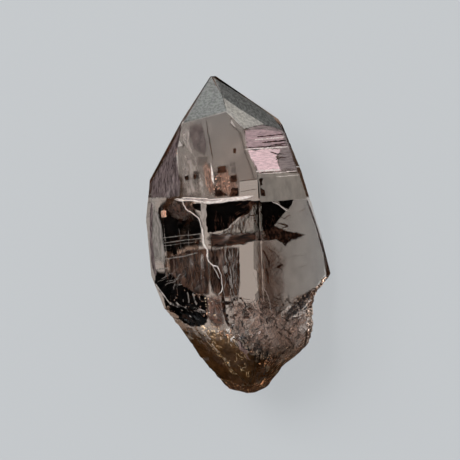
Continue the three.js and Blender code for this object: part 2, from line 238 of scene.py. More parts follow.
def closed_mesh(
    name: str, batches: Sequence[Array], weld: bool = False, rims: Sequence[Array] = ()
) -> bpy.types.Object:
    """One mesh object of many closed shapes, each a stack of rings whose faces look outwards.

    Args:
        name: the object's name.
        batches: arrays of millimetre points, indexed by shape, ring, column and axis.
        weld: whether points that meet are merged.
        rims: for each batch, how near each vertex lies to its flake's rim, from 0 to 1.

    Returns:
        The object, linked into the scene.
    """
    vertices: list[Array] = []
    faces: list[list[int]] = []
    start = 0
    for batch in batches:
        shapes, rings, columns, _ = batch.shape
        ends = batch[:, [0, -1]].mean(axis=2)
        points = np.concatenate([batch.reshape(shapes, -1, 3), ends], axis=1)
        quads, fans = ring_faces(rings, columns)
        inwards = face_inwards(points, quads, fans)[:, None, None]
        size = points.shape[1]
        shift = start + size * np.arange(shapes)[:, None, None]
        for part in (quads, fans):
            turned = np.where(inwards, part[:, ::-1], part) + shift
            faces.extend(turned.reshape(-1, part.shape[1]).tolist())
        vertices.append(points.reshape(-1, 3))
        start += size * shapes
    mesh = bpy.data.meshes.new(name)
    mesh.from_pydata((np.concatenate(vertices) * MM).tolist(), [], faces)
    if weld:
        weld_points(mesh)
    if rims:
        layer = mesh.attributes.new(RIM, "FLOAT", "POINT")
        layer.data.foreach_set("value", np.concatenate(rims).astype(np.float32))
    mesh.validate()
    piece = bpy.data.objects.new(name, mesh)
    bpy.context.scene.collection.objects.link(piece)
    return piece


def keep_creases(piece: bpy.types.Object, angle: float) -> None:
    """Shades a mesh smoothly but keeps each edge sharp where its faces turn by more than an angle.

    Args:
        piece: the mesh object.
        angle: degrees.
    """
    mesh = piece.data
    work = bmesh.new()
    work.from_mesh(mesh)
    for edge in work.edges:
        edge.smooth = len(edge.link_faces) == 2 and edge.calc_face_angle(0.0) < math.radians(angle)
    work.to_mesh(mesh)
    work.free()
    mesh.polygons.foreach_set("use_smooth", np.ones(len(mesh.polygons), dtype=bool))
    mesh.update()


def placed(axes: Sequence[Array], place: Array) -> Matrix:
    """The matrix of a camera or light, from its right, up and back and its place in millimetres."""
    rows = np.column_stack([*axes, place * MM])
    return Matrix([*rows.tolist(), [0.0, 0.0, 0.0, 1.0]])


def shade(red: int, green: int, blue: int) -> Colour:
    """A colour as a shader wants it, from the values from 0 to 255 that a screen shows."""
    parts = np.array([red, green, blue]) / 255
    return tuple(np.where(parts < 0.04045, parts / 12.92, ((parts + 0.055) / 1.055) ** 2.4).tolist())


class NodeTree:
    """The nodes of a material or of the world, added one at a time."""

    def __init__(self, owner: bpy.types.Material | bpy.types.World) -> None:
        """Empties the owner's tree.

        Args:
            owner: the material or the world.
        """
        owner.use_nodes = True
        self.owner = owner
        self.tree = owner.node_tree
        self.tree.nodes.clear()

    def node(self, kind: str, sockets: dict | None = None, **settings: object) -> bpy.types.Node:
        """Adds a node.

        Args:
            kind: Blender's name for the node.
            sockets: values or sockets for its inputs, by name or number.
            **settings: its own settings.

        Returns:
            The node.
        """
        node = self.tree.nodes.new(kind)
        for key, value in settings.items():
            setattr(node, key, value)
        for key, value in (sockets or {}).items():
            if isinstance(value, Socket):
                self.tree.links.new(value, node.inputs[key])
            else:
                node.inputs[key].default_value = value
        return node

    def place(self, across: float = 1.0, along: float = 1.0) -> Socket:
        """The place on the piece in millimetres, stretched.

        Args:
            across: factor across the long axis.
            along: factor along it.

        Returns:
            The vector socket.
        """
        coordinates = self.node("ShaderNodeTexCoord")
        scale = (across / MM, along / MM, across / MM)
        mapping = self.node("ShaderNodeMapping", {"Vector": coordinates.outputs["Object"], "Scale": scale})
        return mapping.outputs["Vector"]

    def noise(
        self, place: Socket, scale: float, detail: float = 3.0, kind: str = "FBM", curl: float = 0.0
    ) -> Socket:
        """Noise from 0 to 1.

        Args:
            place: the place.
            scale: grains for each unit of the place.
            detail: how many finer noises are added.
            kind: Blender's name for the kind of noise.
            curl: how much the grains curl.

        Returns:
            The value socket.
        """
        sockets = {"Vector": place, "Scale": scale, "Detail": detail, "Distortion": curl}
        return self.node("ShaderNodeTexNoise", sockets, noise_type=kind).outputs["Fac"]

    def level(self, slope: float) -> Socket:
        """The level along the long axis in millimetres, raised by a slope for each millimetre along +X."""
        parts = self.node("ShaderNodeSeparateXYZ", {"Vector": self.place()}).outputs
        return self.math("ADD", parts["Y"], self.math("MULTIPLY", parts["X"], slope))

    def spread(
        self, value: Socket, low: float, high: float, to_low: float = 0.0, to_high: float = 1.0,
        easing: str = "SMOOTHSTEP",
    ) -> Socket:
        """A value taken from one range into another and held at both ends.

        Args:
            value: the value.
            low: where the range starts.
            high: where it ends.
            to_low: what the start becomes.
            to_high: what the end becomes.
            easing: Blender's name for the way between them.

        Returns:
            The value socket.
        """
        sockets = {"Value": value, "From Min": low, "From Max": high, "To Min": to_low, "To Max": to_high}
        return self.node("ShaderNodeMapRange", sockets, interpolation_type=easing).outputs["Result"]

    def math(self, operation: str, first: Socket | float, second: Socket | float) -> Socket:
        """A sum, product or other value of two numbers, by Blender's name for it."""
        return self.node("ShaderNodeMath", {0: first, 1: second}, operation=operation).outputs["Value"]

    def blend(self, share: Socket, first: Socket, second: Socket) -> Socket:
        """A value between two values, by the share of the second."""
        return self.node("ShaderNodeMix", {0: share, 2: first, 3: second}, data_type="FLOAT").outputs[0]

    def mix(self, share: Socket, first: Colour, second: Colour) -> Socket:
        """A colour between two colours, by the share of the second."""
        sockets = {0: share, 6: (*first, 1.0), 7: (*second, 1.0)}
        return self.node("ShaderNodeMix", sockets, data_type="RGBA").outputs[2]

    def fade(self, noise: Socket, soft: float) -> Socket:
        """A share that falls from 1 to 0 towards a flake's rim, unevenly by noise.

        Args:
            noise: noise from 0 to 1.
            soft: share of the flake's width over which it falls.

        Returns:
            The share.
        """
        rim = self.node("ShaderNodeAttribute", attribute_type="GEOMETRY", attribute_name=RIM).outputs["Fac"]
        uneven = self.math("ADD", rim, self.math("MULTIPLY", self.math("SUBTRACT", noise, 0.5), soft))
        return self.spread(uneven, 1.0 - soft, 1.0, 1.0, 0.0)

    def bump(self, height: Socket, distance: float, strength: float) -> Socket:
        """A normal bumped by a height. At 1 it stands a distance in millimetres out, felt by a strength."""
        sockets = {"Height": height, "Distance": distance * MM, "Strength": strength}
        return self.node("ShaderNodeBump", sockets).outputs["Normal"]

    def finish(self, surface: Socket, **more: Socket) -> bpy.types.Material:
        """Joins the surface shader, and a Volume shader if there is one, to the material's output."""
        self.node("ShaderNodeOutputMaterial", {"Surface": surface, **more})
        return self.owner


@dataclass(frozen=True)
class SmokyQuartz:
    """Clear smoky quartz: polished grown faces, and a base that is etched and stained amber.

    Attributes:
        refraction: the mineral's refractive index.
        smoke: colour that light keeps over the absorption length.
        density: absorption per metre.
        polished: roughness of the grown faces.
        etched: roughness of the broken base.
        clean_tint: colour of the grown faces' own light.
        stain_tint: colour of the stained base.
        etch_levels: levels between which the etching fades out.
        stain_levels: levels between which the stain fades out.
        stain_slope: how much lower the stain ends for each millimetre to the right.
        wander: how far noise moves both of these, from lowest to highest.
        wander_grains: grains of that noise for each millimetre.
        mottle_grains: grains for each millimetre of the noise that varies the roughness.
        striae_grains: growth lines for each millimetre, across the long axis and along it.
        striae_height: height of the growth lines, as a share of the base's relief.
        pit_grains: etched pits for each millimetre.
        pit_share: the pits' share of the base's relief. The network has the rest.
        network_grains: meshes of the etched network for each millimetre.
        relief: height of the base's relief.
        relief_strength: how much of it is felt.
    """

    refraction: float = 1.544
    smoke: Colour = (0.80, 0.56, 0.38)
    density: float = 50.0
    polished: float = 0.015
    etched: float = 0.08
    clean_tint: Colour = (0.97, 0.96, 0.95)
    stain_tint: Colour = (0.175, 0.13, 0.078)
    etch_levels: Span = (-12.0, -6.0)
    stain_levels: Span = (-17.0, -11.0)
    stain_slope: float = 0.3
    wander: float = 4.0
    wander_grains: float = 0.35
    mottle_grains: float = 1.6
    striae_grains: Span = (0.25, 5.0)
    striae_height: float = 0.07
    pit_grains: float = 2.2
    pit_share: float = 0.6
    network_grains: float = 2.4
    relief: float = 0.12
    relief_strength: float = 0.8

    def material(self) -> bpy.types.Material:
        """Makes the clear material, whose absorption is the same all through the solid.

        Returns:
            The material.
        """
        tree = NodeTree(bpy.data.materials.new("smoky_quartz"))
        place = tree.place()
        wander = tree.math("MULTIPLY", tree.noise(place, self.wander_grains, 2.0), self.wander)

        def below(levels: Span, slope: float) -> Socket:
            """A share that falls from 1 to 0 between two levels, as the noise and a slope move them."""
            low, high = (level + self.wander / 2 for level in levels)
            return tree.spread(tree.math("ADD", tree.level(slope), wander), low, high, 1.0, 0.0)

        etch = below(self.etch_levels, 0.0)
        stain = below(self.stain_levels, self.stain_slope)
        mottle = tree.noise(place, self.mottle_grains, 4.0)
        frost = tree.spread(mottle, *FROST_NOISE, self.etched / 2, self.etched)
        gloss = tree.spread(mottle, *GLOSS_NOISE, self.polished, self.polished * 3)
        striae = tree.noise(tree.place(*self.striae_grains), 1.0, 2.0)
        cells = {"Vector": place, "Scale": self.pit_grains}
        pits = tree.node("ShaderNodeTexVoronoi", cells, feature="SMOOTH_F1").outputs["Distance"]
        network = tree.noise(place, self.network_grains, 3.0, "RIDGED_MULTIFRACTAL")
        rough = tree.math(
            "ADD",
            tree.math("MULTIPLY", pits, self.pit_share),
            tree.math("MULTIPLY", network, 1 - self.pit_share),
        )
        height = tree.blend(etch, tree.math("MULTIPLY", striae, self.striae_height), rough)
        shader = tree.node("ShaderNodeBsdfPrincipled", {
            "Base Color": tree.mix(stain, self.clean_tint, self.stain_tint),
            "Roughness": tree.blend(etch, gloss, frost),
            "Normal": tree.bump(height, self.relief, self.relief_strength),
            "IOR": self.refraction,
            "Transmission Weight": 1.0,
        })
        absorption = {"Color": (*self.smoke, 1.0), "Density": self.density}
        volume = tree.node("ShaderNodeVolumeAbsorption", absorption)
        return tree.finish(shader.outputs[0], Volume=volume.outputs[0])


@dataclass(frozen=True)
class Mineral:
    """An opaque mineral inside the crystal, dark at heart and lighter where noise thins it.

    Attributes:
        name: the material's name.
        dark: colour of the thick parts, in screen values.
        light: colour of the thin parts, in screen values.
        roughness: how dull it is.
        metallic: how much it glints like metal.
        scale: noise grains for each millimetre.
        cover: share of the surface that is covered, from 0 to 1.
        soft: share of its width over which it fades out at the rim.
        gloss: how much it mirrors, where 0.5 is a mineral in air. Enclosed in quartz it mirrors little.
        painted_glow: painted light, a glow of the light colour in place of light its facets send to the eye.
        slot: the record's slot that it belongs to.
        relief: height of its relief.
        relief_strength: how much of the relief is felt.
        hole_grains: grains of its holes for each grain of its colour.
        hole_stretch: the holes' grains along the long axis for each grain across it.
    """

    name: str
    dark: Screen
    light: Screen
    roughness: float = 0.4
    metallic: float = 0.0
    scale: float = 1.5
    cover: float = 1.0
    soft: float = 0.25
    gloss: float = 0.05
    painted_glow: float = 0.0
    slot: Slot = Slot.DARK
    relief: float = 0.1
    relief_strength: float = 0.7
    hole_grains: float = 1.3
    hole_stretch: float = 0.7

    def material(self) -> bpy.types.Material:
        """Makes the mineral's material, with holes where it covers less than all of the surface.

        Returns:
            The material.
        """
        tree = NodeTree(bpy.data.materials.new(self.name))
        mottle = tree.noise(tree.place(), self.scale, 4.0)
        sockets = {
            "Base Color": tree.mix(tree.spread(mottle, *MOTTLE_NOISE), shade(*self.dark), shade(*self.light)),
            "Roughness": tree.spread(mottle, *DULL_NOISE, self.roughness * 0.7, self.roughness),
            "Metallic": self.metallic,
            "Specular IOR Level": self.gloss,
            # Painted light: a glow of its light colour stands in for light that its facets send on.
            "Emission Color": (*shade(*self.light), 1.0),
            "Emission Strength": self.painted_glow,
            "Normal": tree.bump(mottle, self.relief, self.relief_strength),
        }
        if self.cover < 1:
            holes = tree.noise(tree.place(along=self.hole_stretch), self.scale * self.hole_grains, 4.0)
            edge = HOLE_NOISE[1] - (HOLE_NOISE[1] - HOLE_NOISE[0]) * self.cover
            covered = min(1.0, self.cover + 0.2)
            alpha = tree.spread(holes, edge - HOLE_BLUR, edge + HOLE_BLUR, 0.0, covered)
            sockets["Alpha"] = tree.math("MULTIPLY", alpha, tree.fade(holes, self.soft))
        return tree.finish(tree.node("ShaderNodeBsdfPrincipled", sockets).outputs[0])


@dataclass(frozen=True)
class Veil:
    """A film or healed fracture, broken up by noise that is stretched along the long axis or across it.

    Attributes:
        name: the material's name.
        colour: colour of the film, in screen values.
        deep: colour of its darker streaks, in screen values.
        strength: how much the film hides at most.
        stretch: noise grains for each millimetre, across the long axis and along it.
        threshold: noise under this value leaves the crystal clear.
        roughness: how dull the film is.
        soft: share of its width over which it fades out at the rim.
        painted_glow: painted light, a glow of the film's colour in place of light its tiny faces send to the
            eye.
        curl: how much its grains curl.
        slot: the record's slot that it belongs to.
        streak_grains: grains of its darker streaks for each grain of its holes.
        relief: height of its relief.
        relief_strength: how much of the relief is felt.
    """

    name: str
    colour: Screen
    deep: Screen
    strength: float
    stretch: Span
    threshold: float
    roughness: float = 0.3
    soft: float = 0.35
    painted_glow: float = 0.0
    curl: float = 0.0
    slot: Slot = Slot.PALE
    streak_grains: float = 2.3
    relief: float = 0.06
    relief_strength: float = 0.6

    def material(self) -> bpy.types.Material:
        """Makes the film's material, which fades out at the rim.

        Returns:
            The material.
        """
        tree = NodeTree(bpy.data.materials.new(self.name))
        pattern = tree.noise(tree.place(*self.stretch), 1.0, 4.0, curl=self.curl)
        streaks = tree.noise(tree.place(*self.stretch), self.streak_grains, 3.0, curl=self.curl)
        colour = shade(*self.colour)
        low, high = self.threshold - VEIL_BLUR[0], self.threshold + VEIL_BLUR[1]
        alpha = tree.spread(pattern, low, high, 0.0, self.strength)
        shader = tree.node("ShaderNodeBsdfPrincipled", {
            "Base Color": tree.mix(tree.spread(streaks, *STREAK_NOISE), shade(*self.deep), colour),
            "Roughness": self.roughness,
            "Alpha": tree.math("MULTIPLY", alpha, tree.fade(pattern, self.soft)),
            "Normal": tree.bump(streaks, self.relief, self.relief_strength),
            # Painted light: a glow of its own colour stands in for light that its tiny faces send on.
            "Emission Color": (*colour, 1.0),
            "Emission Strength": self.painted_glow,
        })
        return tree.finish(shader.outputs[0])


@dataclass(frozen=True)
class Viewpoint:
    """The camera's place over the crystal.

    Attributes:
        pixel: size of a picture pixel at the front prism face.
        width: width and height of the picture in pixels.
        axis_pixel: where the middle of the front prism face shows.
        turn: how far the camera stands round to the crystal's +X side of the front face's normal.
        lean: how far the tip leans to the left in the picture.
        distance: from the camera to the crystal's middle depth.
        sensor: width of the camera's sensor.
        nearest: where the view starts.
        farthest: where it ends.
    """

    pixel: float = 0.1415
    width: int = 460
    axis_pixel: Span = (240.0, 240.0)
    turn: float = 8.0
    lean: float = 5.0
    distance: float = 700.0
    sensor: float = 36.0
    nearest: float = 50.0
    farthest: float = 10000.0

    def axes(self) -> tuple[Array, Array, Array]:
        """The picture's directions in the crystal's frame.

        Returns:
            Unit vectors to the right and up in the picture, and towards the camera.
        """
        turn, lean = math.radians(self.turn), math.radians(self.lean)
        toward = np.array([math.sin(turn), 0.0, math.cos(turn)])
        level = np.array([math.cos(turn), 0.0, -math.sin(turn)])
        along = np.array([0.0, 1.0, 0.0])
        right = math.cos(lean) * level - math.sin(lean) * along
        up = math.sin(lean) * level + math.cos(lean) * along
        return right, up, toward

    def plane_points(self, pixels: Array, face_height: float) -> Array:
        """Points of the plane at the crystal's middle depth, square to the view.

        Args:
            pixels: picture points, with x and y in the last axis.
            face_height: height of the front prism face.

        Returns:
            The points in millimetres.
        """
        right, up, toward = self.axes()
        across = (pixels[..., :1] - self.axis_pixel[0]) * self.pixel
        along = (self.axis_pixel[1] - pixels[..., 1:]) * self.pixel
        middle = np.array([0.0, 0.0, face_height]) - toward * face_height / 2
        return middle + across * right + along * up

    def eye(self, face_height: float) -> Array:
        """Where the camera stands, in millimetres, for a height of the front prism face."""
        middle = np.array([self.width / 2, self.width / 2])
        return self.plane_points(middle, face_height) + self.axes()[2] * self.distance

    def camera(self, face_height: float) -> bpy.types.Object:
        """Builds the scene's camera.

        Args:
            face_height: height of the front prism face.

        Returns:
            The camera.
        """
        data = bpy.data.cameras.new("camera")
        data.sensor_width = self.sensor
        data.lens = self.sensor * self.distance / (self.width * self.pixel)
        data.clip_start = self.nearest * MM
        data.clip_end = self.farthest * MM
        camera = bpy.data.objects.new("camera", data)
        camera.matrix_world = placed(self.axes(), self.eye(face_height))
        bpy.context.scene.collection.objects.link(camera)
        bpy.context.scene.camera = camera
        return camera


@dataclass(frozen=True)
class Studio:
    """A plain pale floor, an even sky and one large soft light.

    Attributes:
        floor_radius: reach of the floor.
        floor_drop: how far the floor lies under the resting face, so that the two never share a plane.
        floor_thickness: its thickness.
        floor_corners: corners round its rim.
        floor_colour: colour of the floor.
        floor_shade: how dark its faint clouds are, as a share of its colour.
        floor_clouds: the clouds for each millimetre.
        floor_roughness: how dull it is.
        floor_glow: strength of its own light.
        sky_colour: colour of the sky.
        sky_strength: brightness of the sky.
        dark_overhead: upward parts of the direction between which the sky darkens, so that the front face
            mirrors nothing bright.
        horizon: upward parts of the direction between which the sky comes up out of the dark below.
        dark_foot: parts of the direction along the crystal between which the sky brightens towards its tip.
        foot_share: share of its brightness that the sky keeps on the base's side.
        light_size: width of the soft light.
        light_place: where the soft light's middle is.
        light_power: its power in watts.
        bounces: how often light may bounce or pass through a surface.
    """

    floor_radius: float = 1500.0
    floor_drop: float = 0.03
    floor_thickness: float = 4.0
    floor_corners: int = 96
    floor_colour: Colour = (0.10, 0.102, 0.105)
    floor_shade: float = 0.97
    floor_clouds: float = 0.05
    floor_roughness: float = 0.9
    floor_glow: float = 0.47
    sky_colour: Colour = (0.93, 0.97, 1.0)
    sky_strength: float = 0.85
    dark_overhead: Span = (0.80, 0.94)
    horizon: Span = (-0.05, 0.1)
    dark_foot: Span = (-0.55, 0.05)
    foot_share: float = 0.15
    light_size: float = 700.0
    light_place: tuple[float, float, float] = (-500.0, 500.0, 900.0)
    light_power: float = 12.0
    bounces: int = 24

    def floor(self) -> bpy.types.Object:
        """Makes a wide thin disc, which is stage and no part of the crystal.

        Returns:
            The floor.
        """
        angle = np.linspace(0, 2 * np.pi, self.floor_corners, endpoint=False)
        rim = np.stack([np.cos(angle), np.sin(angle), np.zeros_like(angle)], axis=-1) * self.floor_radius
        down = np.array([0.0, 0.0, -1.0])
        top = rim + self.floor_drop * down
        floor = closed_mesh("floor", [np.stack([top, top + self.floor_thickness * down])[None]])
        tree = NodeTree(bpy.data.materials.new("pale_floor"))
        clouded = tuple(part * self.floor_shade for part in self.floor_colour)
        shader = tree.node("ShaderNodeBsdfPrincipled", {
            "Base Color": tree.mix(tree.noise(tree.place(), self.floor_clouds), self.floor_colour, clouded),
            "Roughness": self.floor_roughness,
            "Emission Color": (*self.sky_colour, 1.0),
            "Emission Strength": self.floor_glow,
        })
        floor.data.materials.append(tree.finish(shader.outputs[0]))
        floor.visible_glossy = False
        return floor

    def sky(self) -> None:
        """An even sky, dark straight overhead and under the horizon, and darker on the base's side."""
        world = bpy.data.worlds.new("sky")
        tree = NodeTree(world)
        direction = tree.node("ShaderNodeTexCoord").outputs["Generated"]
        parts = tree.node("ShaderNodeSeparateXYZ", {"Vector": direction}).outputs
        overhead = tree.spread(parts["Z"], *self.dark_overhead, self.sky_strength, 0.0)
        above = tree.spread(parts["Z"], *self.horizon, easing="LINEAR")
        foot = tree.spread(parts["Y"], *self.dark_foot, self.foot_share)
        strength = tree.math("MULTIPLY", tree.math("MULTIPLY", overhead, above), foot)
        background = {"Color": (*self.sky_colour, 1.0), "Strength": strength}
        surface = tree.node("ShaderNodeBackground", background).outputs["Background"]
        tree.node("ShaderNodeOutputWorld", {"Surface": surface})
        bpy.context.scene.world = world

    def light(self) -> bpy.types.Object:
        """Makes one large square light that looks at the crystal.

        Returns:
            The light.
        """
        data = bpy.data.lights.new("soft_light", "AREA")
        data.size = self.light_size * MM
        data.energy = self.light_power
        light = bpy.data.objects.new("soft_light", data)
        place = np.array(self.light_place)
        back = unit(place)
        right = unit(np.cross([0.0, 1.0, 0.0], back))
        light.matrix_world = placed((right, np.cross(back, right), back), place)
        bpy.context.scene.collection.objects.link(light)
        return light

    def build(self) -> None:
        """Sets the whole stage."""
        self.floor()
        self.sky()
        self.light()
        scene = bpy.context.scene
        scene.view_settings.view_transform = "Standard"
        scene.cycles.max_bounces = self.bounces
        scene.cycles.transmission_bounces = self.bounces
        scene.cycles.transparent_max_bounces = 2 * self.bounces


@dataclass(frozen=True)
class Face:
    """One grown plane: the angle between its normal and the long axis, and its distance from the centre."""

    tilt: float
    distance: float


@dataclass(frozen=True)
class Sector:
    """The faces that share one direction round the long axis.

    Attributes:
        name: what a person would call it.
        azimuth: degrees round the long axis. 0 faces up and 90 faces +X.
        columns: mesh columns over it.
        faces: its planes.
        ledges: level and height of each growth ledge. Below one, the face stands out by its height and tapers
            back to the plane at the next.
        fine_ledges: how many fine ledges are added between ledge_span.
        ledge_span: lowest and highest level of the fine ledges.
    """

    name: str
    azimuth: float
    columns: int
    faces: tuple[Face, ...]
    ledges: Outline = ()
    fine_ledges: int = 0
    ledge_span: Span = (0.0, 0.0)

    def all_ledges(self, height: float) -> Array:
        """The growth ledges and the fine ones, from the tip down.

        Args:
            height: greatest height of a fine ledge.

        Returns:
            Level and height of each, one in a row.
        """
        draw = np.random.default_rng(len(self.name) * 100 + self.fine_ledges)
        levels = draw.uniform(*self.ledge_span, self.fine_ledges)
        fine = np.stack([levels, draw.uniform(*FINE_LEDGES, self.fine_ledges) * height], axis=-1)
        known = np.array(self.ledges).reshape(-1, 2)
        near = np.abs(levels[:, None] - known[None, :, 0]).min(axis=1, initial=np.inf) < LEDGE_GAP
        every = np.concatenate([known, fine[~near]])
        return every[np.argsort(-every[:, 0])]

    def lift(self, levels: Array, height: float) -> Array:
        """How far the ledges lift the face at each level.

        Args:
            levels: levels.
            height: greatest height of a fine ledge.

        Returns:
            The lift at each level.
        """
        ledges = self.all_ledges(height)
        if len(ledges) < 2:
            return np.zeros_like(levels)
        upper, lower = ledges[:-1], ledges[1:]
        share = (levels[:, None] - lower[:, 0]) / np.maximum(upper[:, 0] - lower[:, 0], TINY)
        inside = (share > 0) & (share <= 1)
        return np.where(inside, share * upper[:, 1], 0.0).sum(axis=1)


@dataclass
class CrystalShape:
    """The crystal's outside: grown faces, and a broken base below them.

    Attributes:
        low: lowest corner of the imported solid.
        high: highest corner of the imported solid.
        seam: a sector with less than this left is cut away, and both sides of a ledge are this far apart.
        merge: rows nearer than this share of it are one row.
        crease: edges stay sharp where faces turn by more than these degrees.
        heart: what lies inside the broken base stays at most this far out where the base is thinner.
        grain_size: width of the widest grains of the broken base.
        grain_height: their height.
        calm_tip: the base's relief fades out where it reaches less than this from the core.
        fine_ledge_height: greatest height of a fine ledge.
        etch_size: width of the widest meshes of the etched network.
        etch_depth: how deep it is etched.
        etch_shift: how far apart the noises of the grains and of the network are taken.
        base_rows: rows of points over the base.
        face_step: step between the rows above it.
        base_top: level where the base's rows end.
        sectors: growth sectors in order round the long axis.
        core: path of the middle of the cross-section, as level, x and height over the front face.
        base_right: level and reach to the right of the core, of points on the broken base's outline there.
        base_left: the same to the left.
        base_front: the same upwards.
        base_back: the same downwards.
        squareness: power of the base's rounded section at a level, where 2 is an ellipse.
        lumps: azimuth, level, width and height of each lump or pit of the base.
        finish: the clear quartz.
    """

    low: Array
    high: Array
    seam: float = 0.02
    merge: float = 0.9
    crease: float = 14.0
    heart: float = 0.1
    grain_size: float = 1.6
    grain_height: float = 0.34
    calm_tip: float = 2.4
    fine_ledge_height: float = 0.035
    etch_size: float = 0.9
    etch_depth: float = 0.16
    etch_shift: float = 31.7
    base_rows: int = 130
    face_step: float = 0.2
    base_top: float = -3.2
    sectors: tuple[Sector, ...] = (
        Sector("back left prism", -120, 20, (Face(90, 10.75),),
               ((6.4, 0.08), (3.9, 0.12), (0.7, 0.06), (-1.8, 0.0)), 12, (-3.0, 9.0)),
        Sector("lower left break", -95, 12, (Face(116.5, 13.95),)),
        Sector("left tip", -85, 4, (Face(53.8, 16.3),)),
        Sector("left", -61, 18, (Face(75.3, 14.05), Face(90, 13.4)),
               ((12.6, 0.07), (11.0, 0.05), (9.6, 0.08), (8.2, 0.0)), 14, (-4.0, 15.0)),
        Sector("front tip", -7.4, 6, (Face(51.8, 17.95),)),
        Sector("front prism", 0, 44, (Face(90, 8.5),)),
        Sector("inner right tip", 60.7, 4, (Face(55.2, 13.6),)),
        Sector("right", 62.5, 30, (Face(78.9, 8.35), Face(92.1, 6.45)),
               ((15.3, 0.05), (14.5, 0.09), (13.9, 0.06), (13.0, 0.13), (11.6, 0.05), (10.3, 0.08),
                (9.7, 0.1), (9.1, 0.07), (8.4, 0.0)), 22, (8.6, 16.2)),
        Sector("outer right tip", 67.8, 4, (Face(50.7, 14.35),)),
        Sector("right bevel", 80, 4, (Face(90, 8.8),)),
        Sector("back right", 115.8, 22, (Face(72.1, 10.24),),
               ((11.8, 0.08), (9.9, 0.12), (7.1, 0.07), (4.6, 0.14), (1.2, 0.08), (-2.3, 0.0)),
               14, (-2.0, 13.0)),
        Sector("back tip", 178, 6, (Face(55.2, 10.2),)),
        Sector("back prism", 180, 32, (Face(90, 8.5),)),
    )
    core: tuple[tuple[float, float, float], ...] = (
        (-21.7, -1.7, -9.4), (-15.0, -1.2, -8.8), (5.0, -1.5, -8.5), (23.3, -2.62, -4.7),
    )
    base_right: Outline = (
        (-21.7, 0.6), (-21.2, 2.0), (-18.0, 5.0), (-15.9, 8.0), (-14.0, 9.1),
        (-12.2, 9.5), (-8.8, 9.8), (-8.0, 10.3), (-5.9, 12.9), (-5.0, 16.0),
    )
    base_left: Outline = (
        (-21.7, 0.6), (-20.8, 3.0), (-17.5, 6.3), (-13.0, 9.0), (-9.5, 11.2), (-7.0, 14.0),
    )
    base_front: Outline = (
        (-21.7, 0.5), (-20.6, 2.6), (-17.5, 5.3), (-14.0, 7.4), (-11.0, 8.3), (-8.5, 9.4), (-7.0, 13.0),
    )
    base_back: Outline = (
        (-21.7, 0.5), (-20.6, 2.4), (-17.5, 4.7), (-13.5, 6.9), (-9.5, 8.1), (-6.5, 9.2), (-5.0, 13.0),
    )
    squareness: Outline = (
        (-21.7, 2.0), (-15.0, 2.1), (-12.0, 2.3), (-9.0, 2.9), (-6.5, 4.0), (-4.0, 5.0),
    )
    lumps: tuple[tuple[float, float, float, float], ...] = (
        (78, -9.6, 1.5, 0.55), (66, -11.9, 1.3, -0.5), (88, -13.4, 1.6, 0.5), (48, -9.4, 1.2, -0.4),
        (40, -13.2, 1.7, 0.5), (62, -15.6, 1.4, 0.45), (20, -11.0, 1.2, -0.35), (8, -14.6, 1.6, 0.4),
        (-12, -11.8, 1.3, -0.4), (-30, -13.8, 1.5, 0.45), (-48, -9.8, 1.4, -0.5), (-62, -12.6, 1.4, 0.5),
        (-84, -8.6, 1.3, -0.35), (-98, -12.0, 1.6, 0.45), (-75, -16.2, 1.5, 0.35), (-20, -17.6, 1.9, 0.35),
        (30, -17.9, 1.5, -0.35), (105, -16.4, 1.7, 0.4), (118, -10.4, 1.9, -0.6), (145, -12.8, 2.0, 0.6),
        (172, -15.4, 1.9, -0.5), (-155, -12.4, 1.8, 0.55), (-130, -9.2, 1.6, -0.5), (-140, -16.8, 1.7, 0.4),
    )
    finish: SmokyQuartz = SmokyQuartz()

    @property
    def centre_height(self) -> float:
        """Height of the centre point over the resting face."""
        return (self.low[2] + self.high[2]) / 2

    def planes(self) -> tuple[Array, Array]:
        """All grown planes.

        Returns:
            The unit normal of each, one in a row, and its distance from the centre point.
        """
        rows = [
            (math.radians(sector.azimuth), math.radians(face.tilt), face.distance)
            for sector in self.sectors
            for face in sector.faces
        ]
        turn, slope, distance = np.array(rows).T
        out, along = np.sin(slope), np.cos(slope)
        return np.stack([out * np.sin(turn), along, out * np.cos(turn)], axis=-1), distance

    def reaches(self, levels: Array) -> Array:
        """Distance of each sector's surface from the long axis: its nearest plane's, and its ledges' lift.

        Args:
            levels: levels.

        Returns:
            Distances, indexed by sector and level.
        """
        rows = []
        for sector in self.sectors:
            slopes = np.radians([face.tilt for face in sector.faces])[:, None]
            distances = np.array([face.distance for face in sector.faces])[:, None]
            nearest = ((distances - levels * np.cos(slopes)) / np.sin(slopes)).min(axis=0)
            rows.append(nearest + sector.lift(levels, self.fine_ledge_height))
        return np.array(rows)

